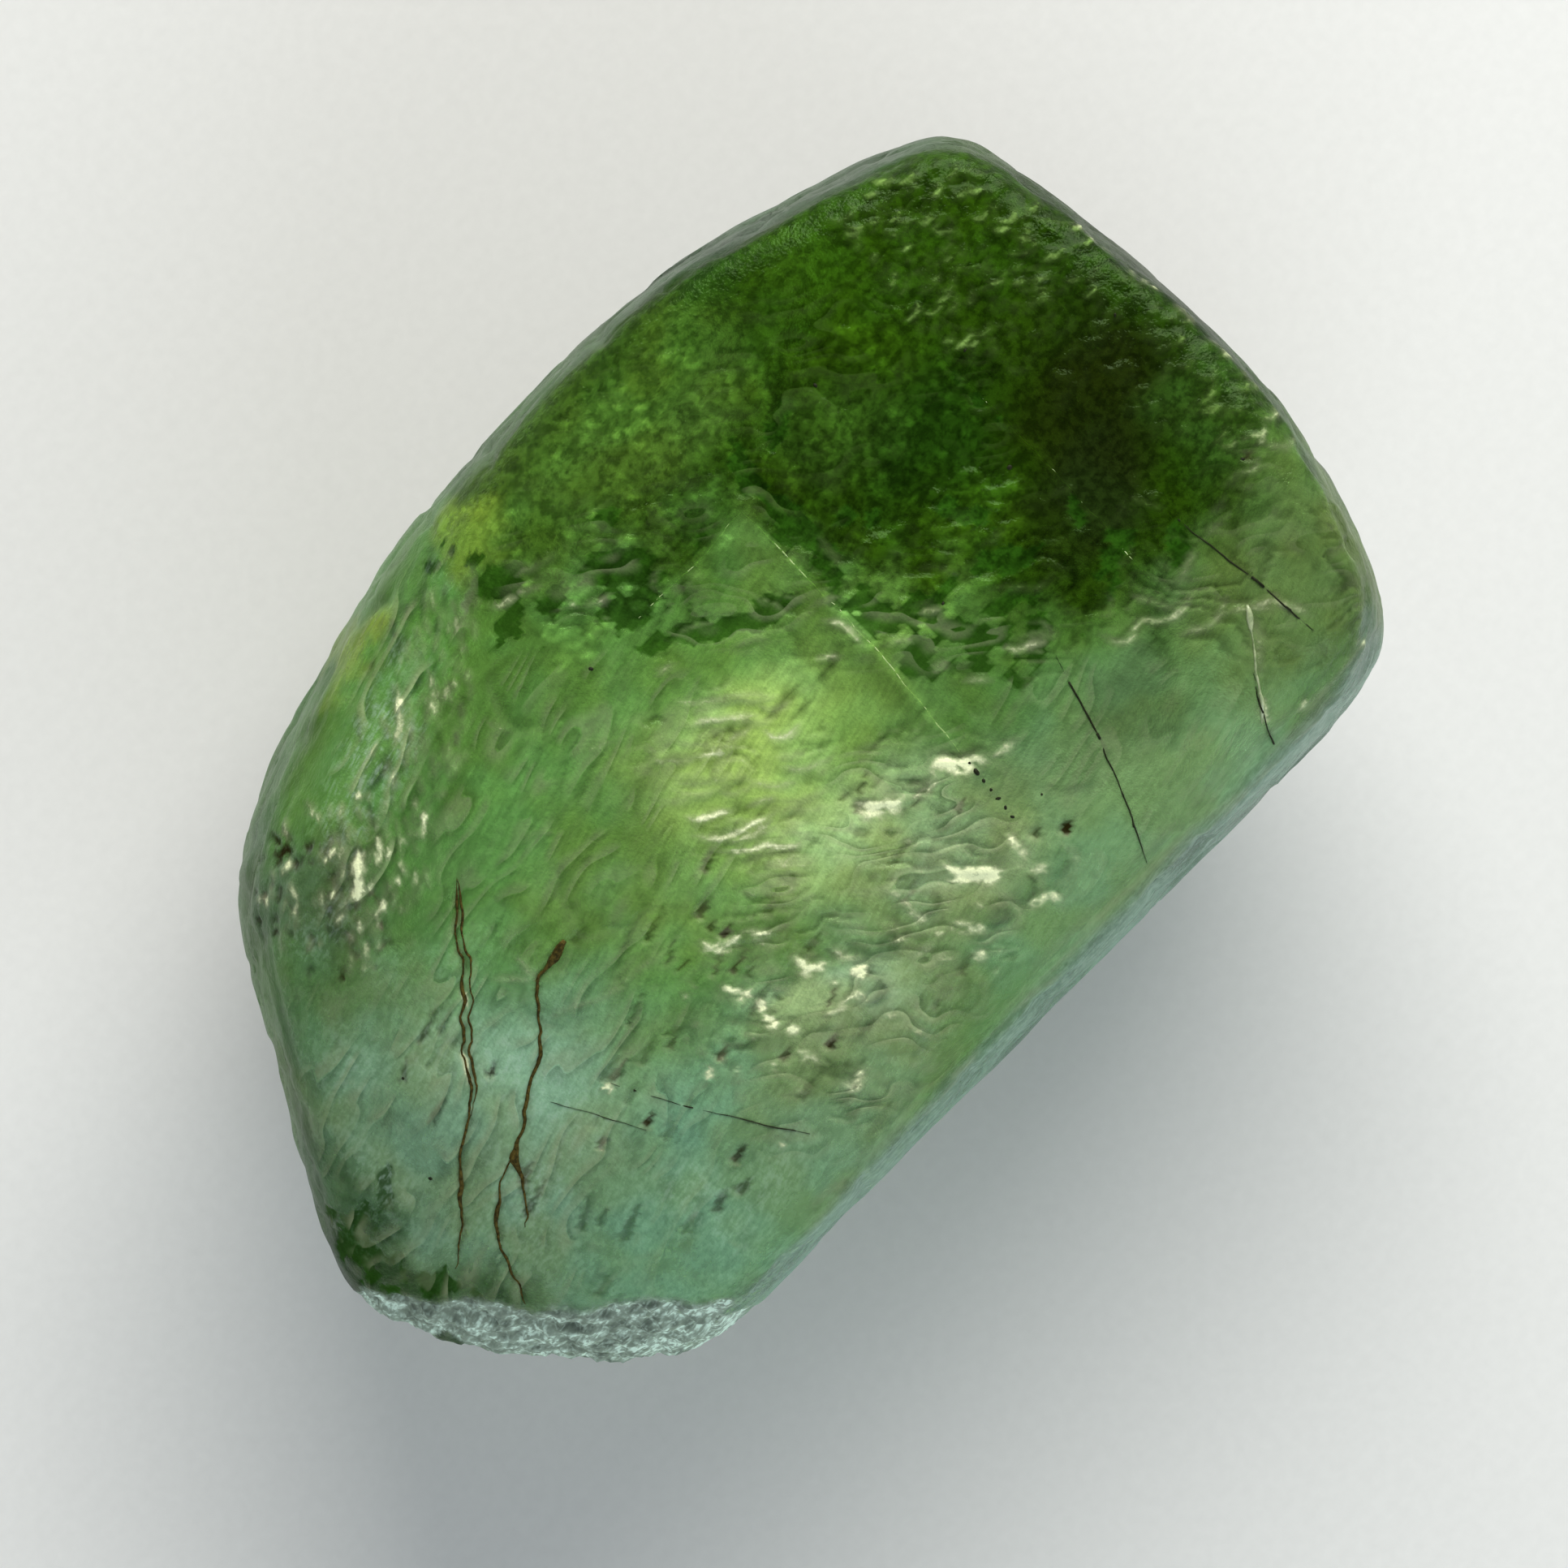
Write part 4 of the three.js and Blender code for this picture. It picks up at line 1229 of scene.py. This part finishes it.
def rust_seams(front):
    """The rust-brown fillings of the open seams."""
    lines = []
    for stops, seed, thickness, blobs in (
        (UPPER_SEAM, 110, 0.044, [(0.80, 0.03, 0.06)]),
        (LOWER_SEAM, 120, 0.050, [(0.05, 0.13, 0.05), (0.76, 0.10, 0.04)]),
        (SPLIT_SEAM, 130, 0.044, [(0.35, 0.03, 0.10)]),
    ):
        line = stained_path(stops, seed)
        lines.append((line, swelling(line, thickness, seed + 1, blobs)))
    # the upper seam starts as two threads with pale glass between them
    line = stained_path(UPPER_SEAM, 110)
    line = line[:int(len(line) * PALE_PART)]
    part = np.linspace(0, 1, len(line))[:, None]
    lines.append((line + heading(STEP_WAY) * 0.24 * MM * np.sin(part * math.pi) ** 0.5,
                  swelling(line, 0.036, 112)))
    return threads("rust_seams", front, lines, lift=0.01 * MM)


def hairline_cracks(front):
    """Hairline cracks: thin blades that hang from the front into the glass, near-black as painted
    shade of the cracks seen edge-on.
    """
    lines = []
    for number, (stops, thickness) in enumerate(CRACKS):
        line = smooth_path([place(*stop) for stop in stops], 0.16 * MM, 0.035 * MM, 140 + number)
        lines.append((line, swelling(line, thickness, 150 + number)))
    return threads("hairline_cracks", front, lines, lift=0.015 * MM, hang=18.0)


def healed_threads(front):
    """Pale healed cracks just under the front."""
    lines = []
    for number, (stops, thickness) in enumerate(HEALED_LINES):
        line = smooth_path([place(*stop) for stop in stops], 0.16 * MM, 0.04 * MM, 160 + number)
        lines.append((line, swelling(line, thickness, 170 + number)))
    return threads("healed_threads", front, lines, lift=-0.02 * MM)


def bright_tube(front):
    """The bright hollow tube beside the clear corner."""
    line = smooth_path([place(*stop) for stop in BRIGHT_TUBE], 0.12 * MM, 0.05 * MM, 180)
    thickness = swelling(line, 0.032, 181, [(0.85, 0.06, 0.10), (0.1, 0.09, 0.1)])
    return threads("bright_tube", front, [(line, thickness)], lift=-0.01 * MM)


def dark_grains(front):
    """Near-black grains: a broken row that ends a healed crack, and single ones elsewhere."""
    rng = np.random.default_rng(SEED + 1)
    row = [place(0.256 - 0.002 * k, -0.42 - 0.028 * k) for k in range(7)]
    loose = [place(along, across) for along, across in (
        (0.880, -0.370), (0.62, 0.02), (0.70, 0.30), (0.50, 0.50), (0.90, 0.10), (0.40, -0.10),
        (-0.70, 0.02), (-0.78, -0.20), (0.30, -0.60), (-0.05, 0.40),
    )]
    grains = []
    for spot in row + loose:
        bpy.ops.object.select_all(action="DESELECT")
        size = rng.uniform(0.045, 0.085) * MM
        middle = (*spot, front.height(spot) - 0.3 * size)
        bpy.ops.mesh.primitive_ico_sphere_add(subdivisions=2, radius=size, location=middle)
        grain = bpy.context.active_object
        grain.scale = (rng.uniform(0.8, 1.5), rng.uniform(0.7, 1.1), rng.uniform(0.6, 0.9))
        grain.rotation_euler = (0, 0, rng.uniform(0, math.pi))
        grains.append(grain)
    bpy.ops.object.select_all(action="DESELECT")
    for grain in grains:
        grain.select_set(True)
    bpy.context.view_layer.objects.active = grains[0]
    bpy.ops.object.join()
    bpy.ops.object.transform_apply(location=True, rotation=True, scale=True)
    joined = bpy.context.active_object
    joined.name = "dark_grains"
    joined.data.name = "dark_grains"
    points = read_points(joined.data)
    dents = lattice_noise(points, 0.06 * MM, 200) * 0.012 * MM
    write_points(joined.data, points + read_normals(joined.data) * dents[:, None])
    bpy.ops.object.shade_smooth()
    return joined


# ------------------------------------------------------------------ shader helpers

class Socket:
    """A shader value: sums, differences and products with sockets or numbers add Math nodes."""

    def __init__(self, graph, socket):
        self.graph = graph
        self.socket = socket

    def math(self, operation, *values):
        return self.graph.node("ShaderNodeMath", dict(enumerate(values)), operation=operation)

    def __add__(self, other):
        return self.math("ADD", self, other)

    __radd__ = __add__

    def __sub__(self, other):
        return self.math("SUBTRACT", self, other)

    def __rsub__(self, other):
        return self.math("SUBTRACT", other, self)

    def __mul__(self, other):
        return self.math("MULTIPLY", self, other)

    __rmul__ = __mul__

    def at_least(self, other):
        return self.math("MAXIMUM", self, other)


class Graph:
    """The node tree of a material or of the studio's surroundings."""

    def __init__(self, owner):
        self.owner = owner
        self.owner.use_nodes = True
        self.tree = self.owner.node_tree
        self.tree.nodes.clear()

    @classmethod
    def material(cls, name):
        graph = cls(bpy.data.materials.new(name))
        graph.object_point = graph.node("ShaderNodeTexCoord", output="Object")
        return graph

    def node(self, kind, values=None, output=0, **settings):
        """Adds one node: its settings first, then the values or links of its inputs."""
        node = self.tree.nodes.new(kind)
        for name, setting in settings.items():
            setattr(node, name, setting)
        for key, value in (values or {}).items():
            target = node.inputs[key]
            if isinstance(value, Socket):
                self.tree.links.new(value.socket, target)
            else:
                target.default_value = value
        return Socket(self, node.outputs[output]) if node.outputs else None

    def mask(self, name):
        return self.node("ShaderNodeAttribute", output="Fac", attribute_name=name)

    def stored_colour(self, name):
        return self.node("ShaderNodeAttribute", output="Color", attribute_name=name)

    def mix(self, factor, first, second):
        """Blends two colours."""
        values = {"Factor": factor, 6: first, 7: second}
        return self.node("ShaderNodeMix", values, output=2, data_type="RGBA")

    def scaled(self, colour, amount):
        return self.node("ShaderNodeVectorMath", {0: colour, "Scale": amount}, operation="SCALE")

    def between(self, value, low, high):
        """0 at low, 1 at high, smooth in between."""
        values = {"Value": value, "From Min": low, "From Max": high}
        return self.node("ShaderNodeMapRange", values, interpolation_type="SMOOTHSTEP")

    def noise(self, point, grain, detail=3, rough=0.55):
        """Noise from about 0 to 1 whose grain is a length in metres."""
        values = {"Vector": point, "Scale": 1 / grain, "Detail": detail, "Roughness": rough}
        return self.node("ShaderNodeTexNoise", values)

    def turned(self, point, way, stretch):
        """Coordinates turned to an azimuth and drawn out along it."""
        values = {"Vector": point, "Rotation": (0, 0, way), "Scale": (stretch, 1, 1)}
        return self.node("ShaderNodeMapping", values, vector_type="TEXTURE")

    def bump(self, height, distance):
        return self.node("ShaderNodeBump", {"Height": height, "Distance": distance})

    def finish(self, surface, volume=None, kind="ShaderNodeOutputMaterial"):
        values = {"Surface": surface}
        if volume:
            values["Volume"] = volume
        self.node(kind, values)
        return self.owner


# ------------------------------------------------------------------ finishes

PERIDOT_IOR = 1.67
DEEP_GLASS = (0.62, 0.85, 0.25, 1)     # what a long way through the glass makes of white light
GLASS_DENSITY = 40.0                   # and how fast it does so, per metre


def peridot():
    """Tinted glass under an etched skin. The skin is thin, and thicker where it is frosted, and
    carries the painted highlights and shade.
    """
    g = Graph.material("peridot")
    point = g.object_point
    dark, glint_and_pale_glass, scaly, steps = g.mask("dark"), g.mask("glint_and_pale_glass"), g.mask("scaly"), g.mask("steps")
    brushed = g.between(g.noise(g.turned(point, ETCH_WAY, 5), 0.12 * MM, 1), 0.36, 0.64)
    mottle = g.between(g.noise(point, 0.30 * MM, 2, 0.6), 0.36, 0.64)
    grain = g.noise(point, 0.10 * MM, 1)

    # fine overlapping scales, each with a painted highlight on its lip and painted shade at its
    # foot
    scale = steps.math("FRACT", steps)
    lip_highlight = g.between(scale, 0.35, 0.95) * g.between(scale, 1.0, 0.95) * scaly
    foot = g.between(scale, 0.40, 0.0) * scaly * 0.5
    tone = (brushed * 0.16 + mottle * (dark * 0.60 + 0.16) + (0.84 - dark * 0.30)) * (1 - foot)
    # white frost specks, some of them painted sparkle
    specks = g.mask("frost_and_sparkle") * (brushed * mottle * 0.55 + 0.08)
    specks = specks.math("MINIMUM", specks, 1.0)
    # painted highlights, crisp where the breaks and lips are brightest
    glint = g.between(glint_and_pale_glass + lip_highlight * 0.25 + grain * 0.5, 0.67, 1.20)
    normal = g.bump(grain, 0.020 * MM)

    glass = g.node("ShaderNodeBsdfPrincipled", {
        "Base Color": g.scaled(g.stored_colour("glass_tint"), tone),
        "Roughness": 0.14,
        "IOR": PERIDOT_IOR,
        "Transmission Weight": 1.0,
        "Specular Tint": (0.15, 0.24, 0.11, 1),
        "Normal": normal,
    })
    # the painted highlight colour: cream on the clear part, green over the dark end
    pale = g.mix(dark, (*GLINT_CREAM, 1), (*GLINT_GREEN, 1))
    colour = g.scaled(g.stored_colour("skin_tint"), tone)
    colour = g.mix(specks, colour, (*FROST_AND_SPARKLE_WHITE, 1))
    colour = g.mix((glint_and_pale_glass * 0.7).at_least(lip_highlight * 0.55), colour, g.scaled(pale, 0.58))
    colour = g.mix(glint, colour, pale)
    skin = g.node("ShaderNodeBsdfPrincipled", {
        "Base Color": colour,
        "Roughness": 0.5,
        "Specular IOR Level": 0.0,
        "Normal": normal,
    })
    cover = g.mask("cover").at_least(glint).at_least(lip_highlight * 0.7).at_least(specks)
    surface = g.node("ShaderNodeMixShader", {0: cover, 1: glass, 2: skin})
    absorb = {"Color": DEEP_GLASS, "Density": GLASS_DENSITY}
    return g.finish(surface, g.node("ShaderNodeVolumeAbsorption", absorb))


def rust():
    g = Graph.material("rust")
    grain = g.noise(g.object_point, 0.12 * MM, 4, 0.65)
    patches = g.between(grain, 0.35, 0.7)
    return g.finish(g.node("ShaderNodeBsdfPrincipled", {
        "Base Color": g.mix(patches, (0.024, 0.019, 0.003, 1), (0.105, 0.076, 0.015, 1)),
        "Roughness": 0.75,
        "Specular IOR Level": 0.1,
        "Normal": g.bump(grain, 0.02 * MM),
    }))


# near-black: the grains' own colour, and painted shade on the hairline cracks
def dark_mineral():
    g = Graph.material("dark_mineral")
    grain = g.noise(g.object_point, 0.08 * MM, 3, 0.6)
    return g.finish(g.node("ShaderNodeBsdfPrincipled", {
        "Base Color": g.mix(grain, (0.004, 0.005, 0.002, 1), (0.022, 0.026, 0.010, 1)),
        "Roughness": 0.5,
        "Specular IOR Level": 0.1,
        "Normal": g.bump(grain, 0.01 * MM),
    }))


def healed_glass(name, pale, painted_shade_and_dark_tone, clear):
    """Pale healed glass: part clear, part scattering."""
    g = Graph.material(name)
    grain = g.noise(g.object_point, 0.25 * MM, 4, 0.6)
    return g.finish(g.node("ShaderNodeBsdfPrincipled", {
        "Base Color": g.mix(g.between(grain, 0.35, 0.65), (*painted_shade_and_dark_tone, 1), (*pale, 1)),
        "Roughness": 0.3,
        "IOR": PERIDOT_IOR,
        "Transmission Weight": clear,
        "Normal": g.bump(grain, 0.03 * MM),
    }))


def floor_paper():
    g = Graph.material("floor_paper")
    fibre = g.noise(g.object_point, 0.4 * MM, 2)
    return g.finish(g.node("ShaderNodeBsdfPrincipled", {
        "Base Color": g.mix(fibre, (0.74, 0.74, 0.73, 1), (0.80, 0.80, 0.79, 1)),
        "Roughness": 0.9,
        "Specular IOR Level": 0.0,
    }))


# ------------------------------------------------------------------ studio

VIEW_ROLL = math.radians(45.2)         # the view is turned by this about the line straight down
FRAME_WIDTH = 46.37 * MM               # what the view takes in at the crystal's middle height
AIM_OFF_MIDDLE = Vector((0.63, -1.60, 0)) * MM
LENS, SENSOR = 500, 36                 # a long lens, so that there is next to no perspective
FLOOR_GAP = 0.02 * MM                  # between the rest face and the floor
LAMP_DISTANCE = 0.35


def toward(view_angle, lift):
    """A direction, from its angle in the view (0 right, 90 up) and its lift off the floor."""
    turn = math.radians(view_angle) - VIEW_ROLL
    rise = math.radians(lift)
    return Vector((
        math.cos(turn) * math.cos(rise),
        math.sin(turn) * math.cos(rise),
        math.sin(rise),
    ))


def softbox(name, view_angle, lift, size, watts, colour):
    """A soft lamp that the camera doesn't see, turned to the crystal."""
    way = toward(view_angle, lift)
    light = bpy.data.lights.new(name, "AREA")
    light.shape = "RECTANGLE"
    light.size, light.size_y = size
    light.energy = watts
    light.color = colour
    lamp = bpy.data.objects.new(name, light)
    bpy.context.collection.objects.link(lamp)
    lamp.location = MIDDLE + way * LAMP_DISTANCE
    lamp.rotation_euler = way.to_track_quat("Z", "Y").to_euler()
    lamp.visible_camera = False


def studio():
    bpy.ops.object.select_all(action="DESELECT")
    bpy.ops.mesh.primitive_plane_add(size=2.0, location=(0, 0, LOW.z - FLOOR_GAP))
    floor = bpy.context.active_object
    floor.name = "floor"
    floor.data.materials.append(floor_paper())

    bpy.context.scene.world = surroundings()
    softbox("cool_side", -65, 27, size=(0.40, 0.26), watts=0.7, colour=(0.86, 0.95, 1.0))
    softbox("high_side", 80, 30, size=(0.34, 0.26), watts=2.0, colour=(1.0, 0.98, 0.92))


def surroundings():
    """A pale room: bright round the horizon and dim overhead, so the flat faces stay clear."""
    g = Graph(bpy.data.worlds.new("studio"))
    way = g.node("ShaderNodeTexCoord", output="Generated")
    rise = g.node("ShaderNodeSeparateXYZ", {0: way}, output="Z")
    overhead = g.between(rise, 0.40, 0.85)
    light = g.mix(overhead, (0.62, 0.66, 0.68, 1), (0.04, 0.04, 0.04, 1))
    return g.finish(g.node("ShaderNodeBackground", {"Color": light}), kind="ShaderNodeOutputWorld")


def camera():
    """A camera straight above the crystal."""
    lens = bpy.data.cameras.new("camera")
    lens.lens = LENS
    lens.sensor_width = SENSOR
    lens.clip_start = 0.005
    view = bpy.data.objects.new("camera", lens)
    bpy.context.collection.objects.link(view)
    distance = FRAME_WIDTH * lens.lens / lens.sensor_width
    view.location = MIDDLE + AIM_OFF_MIDDLE + Vector((0, 0, distance))
    view.rotation_euler = (0, 0, -VIEW_ROLL)
    bpy.context.scene.camera = view


# ------------------------------------------------------------------ making it all

body = crystal_body()
settle(body, peridot())
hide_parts("peridot_crystal")

front = Front(body)
settle(rust_seams(front), rust())
grain_and_crack_shade = dark_mineral()
settle(hairline_cracks(front), grain_and_crack_shade)
settle(dark_grains(front), grain_and_crack_shade)
settle(healed_threads(front),
       healed_glass("healed_glass", (0.55, 0.70, 0.30), (0.30, 0.48, 0.14), 0.2))
settle(bright_tube(front),
       healed_glass("tube_glass", (0.55, 0.64, 0.36), (0.22, 0.32, 0.12), 0.3))

studio()
camera()
scene = bpy.context.scene
scene.view_settings.view_transform = "Standard"
scene.cycles.max_bounces = 5
scene.cycles.transmission_bounces = 4
scene.cycles.diffuse_bounces = 1
scene.cycles.glossy_bounces = 1
